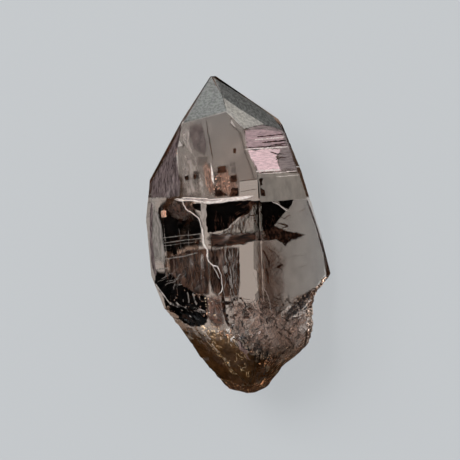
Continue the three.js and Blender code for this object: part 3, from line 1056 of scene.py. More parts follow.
    def outline(self, levels: Array) -> Array:
        """The closed outline at each level, with all the sectors cut by each other.

        On a sector's line at distance d, another sector at distance e and turned by t from it cuts at
        (e - d cos t) / sin t. A sector that is cut away gives its points to the corner where the next starts.

        Args:
            levels: levels.

        Returns:
            x and the height over the centre point, indexed by level, column and axis.
        """
        reach = self.reaches(levels)
        azimuth = np.radians([sector.azimuth for sector in self.sectors])
        turn = azimuth[None, :] - azimuth[:, None]
        sine = np.sin(turn)
        safe = np.where(np.abs(sine) < TINY, 1.0, sine)
        cuts = (reach[None] - reach[:, None] * np.cos(turn)[..., None]) / safe[..., None]
        until = np.where(sine[..., None] > TINY, cuts, np.inf).min(axis=1)
        begin = np.where(sine[..., None] < -TINY, cuts, -np.inf).max(axis=1)
        cut = until - begin < self.seam
        tangent = np.stack([np.cos(azimuth), -np.sin(azimuth)], axis=-1)[:, None]
        normal = np.stack([np.sin(azimuth), np.cos(azimuth)], axis=-1)[:, None]
        start = reach[..., None] * normal + begin[..., None] * tangent
        end = reach[..., None] * normal + until[..., None] * tangent
        count = len(self.sectors)
        for index in range(2 * count - 1, -1, -1):
            own, following = index % count, (index + 1) % count
            start[own] = np.where(cut[own][:, None], start[following], start[own])
            end[own] = np.where(cut[own][:, None], start[following], end[own])
        spans = []
        for sector, first, last in zip(self.sectors, start, end):
            share = (np.arange(sector.columns) / sector.columns)[None, :, None]
            spans.append(first[:, None] * (1 - share) + last[:, None] * share)
        return np.concatenate(spans, axis=1)

    def base_reach(self, azimuth: Array, level: Array) -> Array:
        """The broken base's reach from the core: a rounded section with a half-width for each of four sides.

        Args:
            azimuth: radians round the core.
            level: levels, of the same shape.

        Returns:
            The reach.
        """
        def at(outline: Outline) -> Array:
            """The outline's value at each level."""
            return np.interp(level, *np.array(outline).T)

        across, up = np.sin(azimuth), np.cos(azimuth)
        width = np.where(across > 0, at(self.base_right), at(self.base_left))
        depth = np.where(up > 0, at(self.base_front), at(self.base_back))
        power = at(self.squareness)
        return (np.abs(across / width) ** power + np.abs(up / depth) ** power) ** (-1 / power)

    def core_at(self, level: Array) -> tuple[Array, Array]:
        """The core's x and its height over the resting face, at each level."""
        levels, middle_x, height = np.array(self.core).T
        return np.interp(level, levels, middle_x), np.interp(level, levels, height) + self.high[2]

    def inside(self, points: Array, margin: float) -> Array:
        """Points drawn in towards the core until they lie inside the broken base by a margin.

        Args:
            points: points, with x, y and z in the last axis.
            margin: how far inside they stay.

        Returns:
            The points.
        """
        level = points[..., 1]
        middle_x, middle_height = self.core_at(level)
        across, up = points[..., 0] - middle_x, points[..., 2] - middle_height
        limit = np.maximum(self.base_reach(np.arctan2(across, up), level) - margin, self.heart)
        share = np.minimum(1, limit / np.maximum(np.hypot(across, up), TINY))
        return np.stack([middle_x + share * across, level, middle_height + share * up], axis=-1)

    def lump_height(self, azimuth: Array, level: Array, distance: Array) -> Array:
        """Height of all the lumps and pits, each a round hill that falls off as exp(-(distance / width)^2).

        Args:
            azimuth: radians round the core.
            level: levels.
            distance: distances from the core.

        Returns:
            The height at each point.
        """
        height = np.zeros_like(azimuth)
        for middle, at_level, width, rise in self.lumps:
            turn = (azimuth - math.radians(middle) + np.pi) % (2 * np.pi) - np.pi
            away = np.hypot(turn * distance, level - at_level) / width
            height += rise * np.exp(-away * away)
        return height

    def rows(self) -> Array:
        """Levels of all rows: the base's, even steps above, corners of the planes, and both sides of ledges.

        Returns:
            The levels in rising order.
        """
        normals, distances = self.planes()
        triples = np.array(list(itertools.combinations(range(len(distances)), 3)))
        matrices = normals[triples]
        solvable = np.abs(np.linalg.det(matrices)) > CORNER_SLACK
        corners = np.linalg.solve(matrices[solvable], distances[triples[solvable]][..., None])[..., 0]
        shown = np.all(corners @ normals.T < distances + CORNER_SLACK, axis=1)
        ledges = np.concatenate([sector.all_ledges(self.fine_ledge_height)[:, 0] for sector in self.sectors])
        bottom, tip = self.low[1], self.high[1]
        share = 1 - np.cos(np.pi / 2 * np.arange(self.base_rows + 1) / self.base_rows)
        wanted = np.sort(np.concatenate([
            bottom + (self.base_top - bottom) * share,
            np.arange(self.base_top, tip, self.face_step),
            corners[shown][:, 1],
            ledges - self.seam / 2,
            ledges + self.seam / 2,
            [tip],
        ]))
        kept = [bottom]
        for level in wanted[(wanted > bottom) & (wanted <= tip)]:
            if level - kept[-1] > self.seam * self.merge:
                kept.append(level)
        return np.array(kept)

    def surface(self) -> Array:
        """The whole surface as a function of level and of place round the outline.

        Each outline point moves in towards the core where the broken base is nearer. There the base's lumps
        and grain roughen it, and ridged noise etches a fine network into it.

        Returns:
            Points, indexed by row, column and axis.
        """
        levels = self.rows()
        outline = self.outline(levels)
        level = np.broadcast_to(levels[:, None], outline.shape[:2])
        middle_x, middle_height = self.core_at(level)
        across, up = outline[..., 0] - middle_x, outline[..., 1] + self.centre_height - middle_height
        azimuth, grown = np.arctan2(across, up), np.hypot(across, up)
        base = self.base_reach(azimuth, level)
        place = np.stack([outline[..., 0], level, outline[..., 1]], axis=-1)
        relief = self.lump_height(azimuth, level, base)
        relief += grain(place, self.grain_size, self.grain_height, 2)
        calm = np.minimum(1, base / self.calm_tip)
        broken = base + relief * calm
        ridges = 1 - np.abs(grain(place + self.etch_shift, self.etch_size, 1.0, 3))
        etched = self.etch_depth * ridges**2 * calm
        distance = np.where(broken < grown, broken - etched, grown)
        x = middle_x + distance * np.sin(azimuth)
        height = middle_height + distance * np.cos(azimuth)
        return np.stack([x, level, height], axis=-1)

    def build(self) -> bpy.types.Object:
        """Makes the fine crystal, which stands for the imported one.

        Returns:
            The crystal.
        """
        crystal = closed_mesh("quartz", [self.surface()[None]], weld=True)
        keep_creases(crystal, self.crease)
        crystal.data.materials.append(self.finish.material())
        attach(crystal, BODY)
        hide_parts(*CRYSTAL_NODES)
        return crystal


@dataclass(frozen=True)
class PartingPlane:
    """A plane inside the crystal that enclosed minerals lie under.

    Attributes:
        azimuth: the direction round the long axis that it faces, in degrees.
        distance: how far it lies from the long axis.
    """

    azimuth: float
    distance: float


UNDER_FRONT = PartingPlane(-8.6, 6.68)
UNDER_RIGHT = PartingPlane(62.5, 5.3)


@dataclass
class Sight:
    """Traces picture points into the crystal.

    Attributes:
        view: the camera's place.
        shape: the crystal.
        margin: how far inside the broken base every point stays.
        grazing: planes that face the camera by less than this, as a cosine, aren't seen.
    """

    view: Viewpoint
    shape: CrystalShape
    margin: float = 0.9
    grazing: float = 0.05

    def points(self, pixels: Array, depth: Array | float) -> Array:
        """Points inside the crystal that show at the picture points.

        A sight line meets the last of the grown planes that face it and bends there by Snell's law. The point
        lies on the bent line at its depth, and is drawn inside the broken base where that is nearer.

        Args:
            pixels: picture points, with x and y in the last axis.
            depth: millimetres behind the face, one or one for each point.

        Returns:
            The points.
        """
        entry, inward = self.trace(np.asarray(pixels, float))
        reached = np.broadcast_to(np.asarray(depth, float)[..., None], entry.shape[:-1] + (1,))
        return self.shape.inside(entry + inward * reached, self.margin)

    def trace(self, pixels: Array) -> tuple[Array, Array]:
        """Where the sight lines enter the crystal, and which way they run on in it.

        Args:
            pixels: picture points, with x and y in the last axis.

        Returns:
            The points and the unit directions.
        """
        height = self.shape.high[2]
        centre = np.array([0.0, 0.0, self.shape.centre_height])
        eye = self.view.eye(height)
        onward = unit(self.view.plane_points(pixels, height) - eye)
        normals, distances = self.shape.planes()
        seen = normals @ self.view.axes()[2] > self.grazing
        normals, distances = normals[seen], distances[seen]
        facing = -onward @ normals.T
        reach = ((eye - centre) @ normals.T - distances) / facing
        face = np.argmax(reach, axis=-1)
        entry = eye + np.take_along_axis(reach, face[..., None], axis=-1) * onward
        cosine = np.take_along_axis(facing, face[..., None], axis=-1)
        ratio = 1 / self.shape.finish.refraction
        bent = np.sqrt(1 - ratio**2 * (1 - cosine**2))
        return entry, ratio * onward + (ratio * cosine - bent) * normals[face]

    def depth_to(self, pixels: Array, plane: PartingPlane) -> Array:
        """How far the sight lines run inside the crystal before they meet a parting plane.

        Args:
            pixels: picture points, with x and y in the last axis.
            plane: the plane.

        Returns:
            The distances.
        """
        entry, inward = self.trace(pixels)
        turn = math.radians(plane.azimuth)
        normal = np.array([math.sin(turn), 0.0, math.cos(turn)])
        height = plane.distance + self.shape.centre_height * normal[2]
        return (height - entry @ normal) / (inward @ normal)


def with_depth(pixels: Array, depth: float) -> Array:
    """Picture points with a depth as their third part."""
    return np.concatenate([pixels, np.full((len(pixels), 1), depth)], axis=-1)


def wander(pixels: Array, depth: float, grains: float, apart: float = 9.2) -> Array:
    """How far noise moves picture points across and down, from -1 to 1, in another way at each depth."""
    spread = with_depth(pixels, depth) * grains
    return np.stack([smooth_noise(spread), smooth_noise(spread + apart)], axis=-1)


def tubes(paths: Array, width: Array, thickness: Array, sight: Sight, sides: int) -> Array:
    """Closed tubes: an ellipse carried along each path.

    Args:
        paths: points, indexed by shape, ring and axis.
        width: the ellipse's width across the view, for each point.
        thickness: its thickness along the view.
        sight: traces picture points into the crystal.
        sides: points round each ring.

    Returns:
        Points, indexed by shape, ring, column and axis.
    """
    along = unit(np.gradient(paths, axis=1))
    across = unit(np.cross(along, sight.view.axes()[2]))
    facing = np.cross(across, along)
    angle = np.linspace(0, 2 * np.pi, sides, endpoint=False)[:, None]
    wide = width[..., None, None] / 2 * np.cos(angle) * across[:, :, None]
    deep = thickness[..., None, None] / 2 * np.sin(angle) * facing[:, :, None]
    return paths[:, :, None] + wide + deep


@dataclass(frozen=True)
class Flake:
    """A flake of mineral or a healed fracture, by the outline that it shows.

    Attributes:
        outline: its corners in the picture, in order.
        depth: how deep its middle lies behind the face, or behind the plane that it lies under.
        thickness: its greatest thickness.
        wave: how far its middle surface sways.
        jag: how far its rim wanders, in pixels.
        under: the plane that it lies under, if any.
        columns: points round its rim.
        steps: rings on each of its skins.
        heart: share of the way to the rim where the innermost ring lies.
        rim_grains: grains for each pixel of the noise that moves its rim.
        sway_grains: grains for each millimetre of the noise that sways it.
        skin_grains: grains for each millimetre of the noise on its skins.
        skin_relief: how much that noise changes its thickness, as a share.
        skin_shift: how far from the middle the noise of each skin is taken.
    """

    outline: Outline
    depth: float
    thickness: float
    wave: float = 0.1
    jag: float = 0.5
    under: PartingPlane | None = None
    columns: int = 72
    steps: int = 8
    heart: float = 0.08
    rim_grains: float = 0.45
    sway_grains: float = 0.6
    skin_grains: float = 1.4
    skin_relief: float = 0.4
    skin_shift: float = 5.0

    def rings(self, sight: Sight) -> Array:
        """The closed flake as rings from the middle of one skin, over the rim, to the middle of the other.

        Ring v is the rim drawn in to the share v. There each skin stands off the middle surface by
        thickness / 2 * sqrt(1 - v^2), roughened by noise, and the middle surface sways by smooth noise.

        Args:
            sight: traces picture points into the crystal.

        Returns:
            Points, indexed by shape, ring, column and axis.
        """
        corners = resample(np.array(self.outline, float), self.columns, closed=True)
        corners = corners + self.jag * wander(corners, self.depth, self.rim_grains)
        middle = corners.mean(axis=0)
        share = np.linspace(self.heart, 1.0, self.steps)
        share = np.concatenate([share, share[-2::-1]])
        side = np.concatenate([np.ones(self.steps), -np.ones(self.steps - 1)])
        pixels = middle + share[:, None, None] * (corners - middle)
        depth = self.depth if self.under is None else self.depth + sight.depth_to(pixels, self.under)
        flat = sight.points(pixels, depth)
        edge = flat[self.steps - 1]
        heart = edge.mean(axis=0)
        normal = unit(np.cross(edge - heart, np.roll(edge, -1, axis=0) - heart).sum(axis=0))
        normal = normal if normal @ sight.view.axes()[2] > 0 else -normal
        sway = self.wave * smooth_noise(flat * self.sway_grains)
        stand = self.thickness / 2 * np.sqrt(np.maximum(0, 1 - share**2))[:, None]
        skin = smooth_noise(flat * self.skin_grains + side[:, None, None] * self.skin_shift)
        stand = stand * (1 + self.skin_relief * skin)
        return (flat + (sway + side[:, None] * stand)[..., None] * normal)[None]


@dataclass(frozen=True)
class Vein:
    """A thin strand, by the line that it shows.

    Attributes:
        line: its points in the picture.
        depth: how deep it lies behind the face.
        width: its width across the view.
        thickness: its thickness along the view.
        jag: how far it wanders off its line, in pixels.
        steps: rings along it.
        sides: points round each ring.
        swell: how much noise changes its width, as a share.
        swell_grains: grains of that noise for each pixel.
        swell_shift: how far that noise is taken from the one that it wanders by.
        apart: how far apart the noises of its two directions are taken.
        thin_end: square of the share of its width that its ends have.
    """

    line: Outline
    depth: float
    width: float
    thickness: float
    jag: float = 0.3
    steps: int = 60
    sides: int = 6
    swell: float = 0.45
    swell_grains: float = 0.5
    swell_shift: float = 2.0
    apart: float = 4.4
    thin_end: float = 0.02

    def rings(self, sight: Sight) -> Array:
        """The closed strand: an ellipse carried along the line, which swells by noise and ends thin.

        Args:
            sight: traces picture points into the crystal.

        Returns:
            Points, indexed by shape, ring, column and axis.
        """
        pixels = resample(np.array(self.line, float), self.steps, closed=False)
        sway = sum(share * wander(pixels, self.depth, grains, self.apart) for grains, share in VEIN_WANDER)
        path = sight.points(pixels + self.jag * sway, self.depth)
        place = np.linspace(-1, 1, self.steps)
        spread = with_depth(pixels, self.depth) * self.swell_grains + self.swell_shift
        swell = 1 + self.swell * smooth_noise(spread)
        taper = np.sqrt(np.maximum(self.thin_end, 1 - place**6)) * swell
        return tubes(path[None], self.width * taper[None], self.thickness * taper[None], sight, self.sides)


@dataclass(frozen=True)
class Scatter:
    """Many small shapes, strewn evenly over an area of the picture.

    Attributes:
        area: left, top, right and bottom of where their middles show.
        count: how many.
        seed: start of the random draws.
        depth: least and greatest depth.
    """

    area: tuple[float, float, float, float]
    count: int
    seed: int
    depth: Span

    def middles(self, draw: np.random.Generator) -> Array:
        """Draws where their middles show, one in a row."""
        left, top, right, bottom = self.area
        return draw.uniform([[left], [top]], [[right], [bottom]], (2, self.count)).T

    def drawn(self, draw: np.random.Generator, span: Span) -> Array:
        """Draws a value from a span for each of them, in a column."""
        return draw.uniform(*span, self.count)[:, None]


@dataclass(frozen=True)
class Blocks(Scatter):
    """Small blocks that lie square to the long axis, as crystals grow in steps.

    Attributes:
        width: smallest and greatest width in pixels.
        height: smallest and greatest height in pixels.
        thickness: least and greatest thickness.
    """

    width: Span
    height: Span
    thickness: Span

    def rings(self, sight: Sight) -> Array:
        """The closed blocks, each a ring of four corners in front and one behind it.

        Args:
            sight: traces picture points into the crystal.

        Returns:
            Points, indexed by shape, ring, column and axis.
        """
        draw = np.random.default_rng(self.seed)
        middle = self.middles(draw)
        half = np.concatenate([self.drawn(draw, self.width), self.drawn(draw, self.height)], axis=-1) / 2
        lean = math.radians(sight.view.lean)
        turned = np.array([[math.cos(lean), math.sin(lean)], [-math.sin(lean), math.cos(lean)]])
        signs = np.array([[-1, -1], [1, -1], [1, 1], [-1, 1]], float)
        corners = middle[:, None] + (signs * half[:, None]) @ turned
        face = np.broadcast_to(self.drawn(draw, self.depth), corners.shape[:2])
        back = face + self.drawn(draw, self.thickness)
        return np.stack([sight.points(corners, face), sight.points(corners, back)], axis=1)


@dataclass(frozen=True)
class Strands(Scatter):
    """Thin wavy strands that run side by side.

    Attributes:
        length: smallest and greatest length in pixels.
        slant: degrees that they lean from the long axis, least and most.
        width: smallest and greatest width in millimetres.
        curl: how far they wander, in pixels.
        steps: rings along each.
        sides: points round each ring.
        grains: grains of the noise that they wander by, for each pixel.
        depth_grains: its grains for each millimetre of depth, so that each strand wanders its own way.
        apart: how far apart the noises of the two directions are taken.
        thin_end: square of the share of its width that an end has.
    """

    length: Span
    slant: Span
    width: Span
    curl: float
    steps: int = 16
    sides: int = 5
    grains: float = 0.22
    depth_grains: float = 9.0
    apart: float = 5.1
    thin_end: float = 0.03

    def rings(self, sight: Sight) -> Array:
        """The closed strands: a circle carried along each line, which wanders by noise and ends thin.

        Args:
            sight: traces picture points into the crystal.

        Returns:
            Points, indexed by shape, ring, column and axis.
        """
        draw = np.random.default_rng(self.seed)
        middle = self.middles(draw)
        lean = np.radians(draw.uniform(*self.slant, self.count) - sight.view.lean)
        along = np.stack([np.sin(lean), -np.cos(lean)], axis=-1)
        place = np.linspace(-0.5, 0.5, self.steps)
        reach = self.drawn(draw, self.length) * place
        pixels = middle[:, None] + reach[..., None] * along[:, None]
        depth = self.drawn(draw, self.depth)
        deep = np.broadcast_to(depth, reach.shape)[..., None] * self.depth_grains
        spread = np.concatenate([pixels * self.grains, deep], axis=-1)
        sway = np.stack([smooth_noise(spread), smooth_noise(spread + self.apart) / 2], axis=-1)
        path = sight.points(pixels + self.curl * sway, depth)
        width = self.drawn(draw, self.width) * np.sqrt(np.maximum(self.thin_end, 1 - (2 * place) ** 4))
        return tubes(path, width, width, sight, self.sides)


@dataclass(frozen=True)
class Glints(Scatter):
    """Small thin flakes that catch the light, each tilted its own way.

    Attributes:
        size: smallest and greatest half-width in millimetres.
        tilt: how far they tilt out of the view's plane, from 0 to 1.
        sides: corners of each.
        thickness: their thickness.
        corner: least and greatest reach of a corner, as a share of the size.
        squeeze: least and greatest height, as a share of the width.
    """

    size: Span
    tilt: float
    sides: int = 5
    thickness: float = 0.04
    corner: Span = (0.5, 1.0)
    squeeze: Span = (0.4, 1.0)

    def rings(self, sight: Sight) -> Array:
        """The closed flakes, each a ring of uneven corners in front and one behind it.

        Args:
            sight: traces picture points into the crystal.

        Returns:
            Points, indexed by shape, ring, column and axis.
        """
        draw = np.random.default_rng(self.seed)
        pixels = self.middles(draw)
        middle = sight.points(pixels, draw.uniform(*self.depth, self.count))
        normal = unit(sight.view.axes()[2] + self.tilt * draw.normal(size=(self.count, 3)))
        first = unit(np.cross(normal, draw.normal(size=(self.count, 3))))
        second = np.cross(normal, first)
        angle = np.linspace(0, 2 * np.pi, self.sides, endpoint=False)
        radius = self.drawn(draw, self.size) * draw.uniform(*self.corner, (self.count, self.sides))
        wide = radius * np.cos(angle)
        high = radius * np.sin(angle) * self.drawn(draw, self.squeeze)
        ring = middle[:, None] + wide[..., None] * first[:, None] + high[..., None] * second[:, None]
        half = normal[:, None] * self.thickness / 2
        return np.stack([ring + half, ring - half], axis=1)


def rim_shares(batch: Array, skins: bool) -> Array:
    """How near each vertex lies to the rim, from 0 to 1, in the order of closed_mesh.

    Args:
        batch: points, indexed by shape, ring, column and axis.
        skins: whether the rings run over the rim from the middle of one skin to that of the other. Otherwise
            they run from end to end.

    Returns:
        The shares.
    """
    shapes, rings, columns, _ = batch.shape
    away = np.abs(np.linspace(-1, 1, rings))
    share = 1 - away if skins else away**4 * END_FADE
    ends = np.array([share[0], share[-1]])
    return np.tile(np.concatenate([np.repeat(share, columns), ends]), shapes)


Part = Flake | Vein | Blocks | Strands | Glints


@dataclass(frozen=True)
class Inclusion:
    """A piece inside the crystal, whose parts have one finish.

    Attributes:
        finish: its finish.
        parts: what it is made of.
        nodes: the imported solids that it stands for.
        crease: its edges stay sharp where faces turn by more than these degrees.
    """

    finish: Mineral | Veil
    parts: tuple[Part, ...]
    nodes: tuple[str, ...] = ()
    crease: float = 40.0

    @property
    def slot(self) -> Slot:
        """The record's slot that it belongs to."""
        return self.finish.slot

    def build(self, name: str, sight: Sight) -> bpy.types.Object:
        """Makes the piece and dresses it.

        Args:
            name: the piece's name.
            sight: traces picture points into the crystal.

        Returns:
            The piece.
        """
        batches = [part.rings(sight) for part in self.parts]
        rims = [rim_shares(batch, isinstance(part, Flake)) for batch, part in zip(batches, self.parts)]
        piece = closed_mesh(name, batches, rims=rims)
        keep_creases(piece, self.crease)
        piece.data.materials.append(bpy.data.materials.get(self.finish.name) or self.finish.material())
        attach(piece, BODY)
        self.slot.value
        if self.nodes:
            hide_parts(*self.nodes)
        return piece


@dataclass(frozen=True)
class Region:
    """A region inside the crystal. Each field of a kind of region is a piece, under the piece's own name."""

    def build(self, sight: Sight) -> list[bpy.types.Object]:
        """Makes the region's pieces, in the order of its fields."""
        return [getattr(self, piece.name).build(piece.name, sight) for piece in fields(self)]


BLACK = Mineral("black_mineral", (4, 3, 3), (20, 14, 12), 0.7)
BLACK_FILM = Mineral("black_film", (6, 4, 4), (66, 43, 33), 0.7, scale=1.2, cover=0.75)
BROWN = Mineral("brown_mineral", (40, 24, 18), (104, 70, 54), 0.6, cover=0.85)
# Metallic flakes: their glints are partly their own reflection and partly a painted glow.
COPPER = Mineral("copper_glints", (206, 140, 108), (245, 206, 182), 0.3, 0.9, 4.0, painted_glow=0.35,
                 slot=Slot.PALE)
GOLD = Mineral("golden_glints", (236, 190, 140), (255, 236, 206), 0.2, 0.9, 4.0, painted_glow=0.65, slot=Slot.PALE)
WHITE = Veil("white_fracture", (240, 232, 228), (196, 184, 178), 0.95, (1.0, 1.0), 0.15, painted_glow=0.42)
STRIAE = Veil("striated_film", (234, 220, 216), (128, 108, 104), 0.9, (0.2, 6.0), 0.35, painted_glow=0.25)
# Painted reflection: a glowing pink film for light mirrored by the stepped steep face.
PINK_REFLECTION = Veil("pink_painted_reflection", (240, 214, 217), (176, 148, 152), 0.94, (0.35, 3.4), 0.2, 0.25, 0.15, 0.45)
# The dimmer upper part of that painted reflection, and also the pink tongue in the base.
ROSE = Veil("rose_film", (220, 194, 197), (168, 142, 146), 0.85, (0.3, 3.0), 0.2, 0.3, 0.15, 0.26)
LILAC = Veil("lilac_film", (194, 179, 177), (130, 116, 116), 0.8, (0.25, 3.0), 0.2, soft=0.3, painted_glow=0.17)
FROST = Veil("tip_frost", (172, 174, 170), (128, 130, 126), 0.82, (1.3, 1.3), 0.1, 0.5, 0.03, 0.02)
# One frost in three tones: painted shade on the right facet, painted light on the stripe between.
SHADED_FROST = Veil("shaded_frost", (166, 166, 162), (112, 112, 110), 0.84, (1.2, 1.2), 0.1, 0.5, 0.03, 0.05)
LIT_FROST = Veil("lit_frost", (226, 222, 215), (176, 172, 166), 0.84, (1.2, 1.2), 0.1, 0.5, 0.04, 0.16)
PALE = Veil("pale_film", (220, 210, 203), (150, 138, 131), 0.6, (0.9, 0.35), 0.4, painted_glow=0.1)
GREY = Veil("grey_film", (202, 195, 189), (136, 129, 123), 0.72, (0.7, 0.3), 0.25, painted_glow=0.1)
SMOKE = Veil("smoke_film", (166, 150, 138), (126, 110, 100), 0.38, (0.25, 0.2), 0.0, 0.6, 0.03)
RIGHT_SMOKE = Veil("right_smoke_film", (184, 176, 166), (146, 137, 128), 0.36, (0.25, 0.2), 0.0, 0.6, 0.03)
HAZE = Veil("haze_film", (194, 184, 174), (168, 157, 148), 0.92, (0.3, 0.2), 0.0, 0.6, 0.05, 0.13)
MAUVE = Veil("mauve_film", (148, 127, 125), (104, 87, 86), 0.55, (0.8, 0.4), 0.25, soft=0.4)
DARK_MAUVE = Veil("dark_mauve_film", (176, 156, 155), (80, 63, 63), 0.85, (1.6, 0.35), 0.2, soft=0.1,
                  slot=Slot.DARK)
COPPER_FILM = Veil("copper_film", (192, 152, 132), (98, 66, 54), 0.66, (1.6, 0.5), 0.3, painted_glow=0.17,
                   slot=Slot.DARK)
BROWN_FILM = Veil("brown_film", (116, 82, 64), (46, 29, 22), 0.8, (1.0, 0.6), 0.33, soft=0.5,
                  slot=Slot.DARK)
HAZY_BROWN = Veil("hazy_brown_film", (192, 150, 126), (116, 84, 68), 0.42, (0.9, 0.7), 0.33, soft=0.5,
                  curl=2.5, slot=Slot.DARK)
WARM = Veil("warm_film", (128, 90, 70), (60, 37, 27), 0.88, (1.2, 0.25), 0.1, soft=0.15, slot=Slot.DARK)
DARK_BAND = Veil("dark_band", (94, 58, 41), (30, 17, 12), 0.94, (0.3, 1.3), 0.15, soft=0.25, slot=Slot.DARK)
AMBER = Veil("amber_film", (190, 150, 108), (124, 94, 64), 0.95, (0.4, 0.3), 0.0, 0.5, 0.3, 0.04,
             slot=Slot.DARK)
REDDISH = Veil("reddish_film", (152, 106, 86), (78, 47, 37), 0.74, (1.0, 0.6), 0.3, soft=0.5, painted_glow=0.04,
               slot=Slot.DARK)
DARK_AMBER = Veil("dark_amber", (80, 52, 28), (58, 35, 17), 0.85, (0.3, 0.3), 0.0, 0.5, 0.9, slot=Slot.DARK)
NETWORK = Veil("etched_network", (222, 188, 170), (70, 44, 35), 0.72, (0.8, 0.65), 0.41, painted_glow=0.08,
               curl=3.0)
DARK_NETWORK = Veil("dark_network", (74, 50, 42), (22, 14, 12), 0.85, (0.8, 0.6), 0.38, curl=2.0,
                    slot=Slot.DARK)


@dataclass(frozen=True)
class TipFrost(Region):
    """Frosted tip faces: grey in front, a band on its right in painted shade, a stripe between in painted
    light.
    """

    tip_frost: Inclusion = Inclusion(FROST, (
        Flake(((211.2, 76.2), (218, 88), (222.8, 97), (226.8, 111), (206, 117), (182.8, 123.4),
               (196.6, 100)), 0.12, 0.05, wave=0.0, jag=0.1),
    ))
    # Painted light: the tip frost made lighter, with a glow, on the stripe between the facets.
    tip_lit_stripe: Inclusion = Inclusion(LIT_FROST, (
        Flake(((222.6, 97), (240, 109), (264.5, 124), (244, 129), (226.4, 112.4)),
              0.18, 0.05, wave=0.0, jag=0.2),
    ))
    # Painted shade: the tip frost made darker on the right facet.
    tip_dark_band: Inclusion = Inclusion(SHADED_FROST, (
        Flake(((212.8, 77), (246, 97.8), (273.5, 117), (282.5, 130), (263, 124.3), (240.5, 110.3),
               (222.3, 97)), 0.2, 0.05, wave=0.0, jag=0.1),
    ))
    tip_marks: Inclusion = Inclusion(BLACK, (
        Glints((225, 103, 230, 108), 5, 4, (0.3, 0.5), (0.1, 0.3), 0.3),
    ))


@dataclass(frozen=True)
class SteepFace(Region):
    """Pink panels under the stepped steep face, a painted reflection, and its ledges' dark and bright lines.
    """

    # Painted reflection: the brighter lower panel of the steep face.
    pink_reflection_panels: Inclusion = Inclusion(PINK_REFLECTION, (
        Flake(((247.5, 150), (268, 148.5), (281, 148.2), (277, 158), (281, 171), (257.5, 173)),
              0.2, 0.06, wave=0.0, jag=1.2),
    ))
    # Painted reflection: the dimmer upper panel of the steep face.
    rose_reflection_panels: Inclusion = Inclusion(ROSE, (
        Flake(((243.5, 130), (262, 128.5), (282, 131), (288, 147), (266, 147.6), (246.5, 149.5)),
              0.2, 0.06, wave=0.0, jag=0.3),
    ))
    lilac_panels: Inclusion = Inclusion(LILAC, (
        # Lilac panel.
        Flake(((244.5, 127.2), (262, 123.8), (278.5, 127), (286, 137), (264, 133), (247, 131.5)),
              0.3, 0.06, wave=0.0),
        # Side panel.
        Flake(((276, 124), (280.5, 124), (286, 134.5), (293.5, 157), (298.5, 173), (278, 173), (277, 150)),
              0.3, 0.06, wave=0.0, jag=0.2),
    ))
    panel_haze: Inclusion = Inclusion(HAZE, (
        Flake(((257, 173), (280, 172.5), (299, 172.5), (307.6, 198.6), (284, 200.8), (260, 202.4)),
              0.2, 0.06, wave=0.0, jag=0.2),
    ))
    # Painted shade: dark lines along the crystal's outline, where refraction darkens its edges.
    painted_edge_shade: Inclusion = Inclusion(DARK_MAUVE, (
        Vein(((306.6, 199), (316.6, 227), (325.9, 260), (328.6, 267)), 0.3, 0.34, 0.1, 0.0),
        Vein(((279, 122), (285.1, 134.5), (292.4, 157), (297.4, 173), (304.6, 196)), 0.28, 0.2, 0.1, 0.0),
        Vein(((182, 125.5), (172, 144.5), (161, 165), (150.5, 184), (149.3, 204)), 0.2, 0.2, 0.1, 0.0),
    ))
    dark_ledge_lines: Inclusion = Inclusion(BROWN, (
        # Dark lines.
        Vein(((257, 136.8), (270, 135.6), (284, 134)), 0.12, 0.16, 0.06),
        Vein(((262, 142.6), (272, 141.6), (286, 140.4)), 0.12, 0.17, 0.06),
        Vein(((246, 147.8), (262, 146.6), (287, 144.8)), 0.12, 0.14, 0.06),
        Vein(((270, 145), (287, 143)), 0.12, 0.12, 0.06),
        Vein(((270, 152), (277, 154), (284, 153.5)), 0.12, 0.16, 0.06),
        Vein(((276, 160), (281, 157), (286, 158)), 0.12, 0.12, 0.06),
        # Lumps.
        Flake(((259, 177), (263, 178), (262, 185), (259.5, 187)), 0.2, 0.05, jag=0.6),
        Flake(((260, 187), (264, 190), (266, 197), (260.5, 198)), 0.2, 0.05, jag=0.6),
    ))
    bright_ledge_lines: Inclusion = Inclusion(WHITE, (
        Vein(((254, 139.7), (268, 138.6), (285, 137)), 0.1, 0.16, 0.05),
        Vein(((245, 149.3), (262, 148.3), (288, 146.6)), 0.1, 0.16, 0.05),
        Vein(((256, 171.4), (268, 170.6), (281, 169.8)), 0.1, 0.24, 0.05),
        Vein(((262, 173.6), (276, 172.8), (297, 171)), 0.1, 0.12, 0.05),
        Vein(((276, 176.6), (286, 176), (299, 175)), 0.1, 0.08, 0.05),
    ))


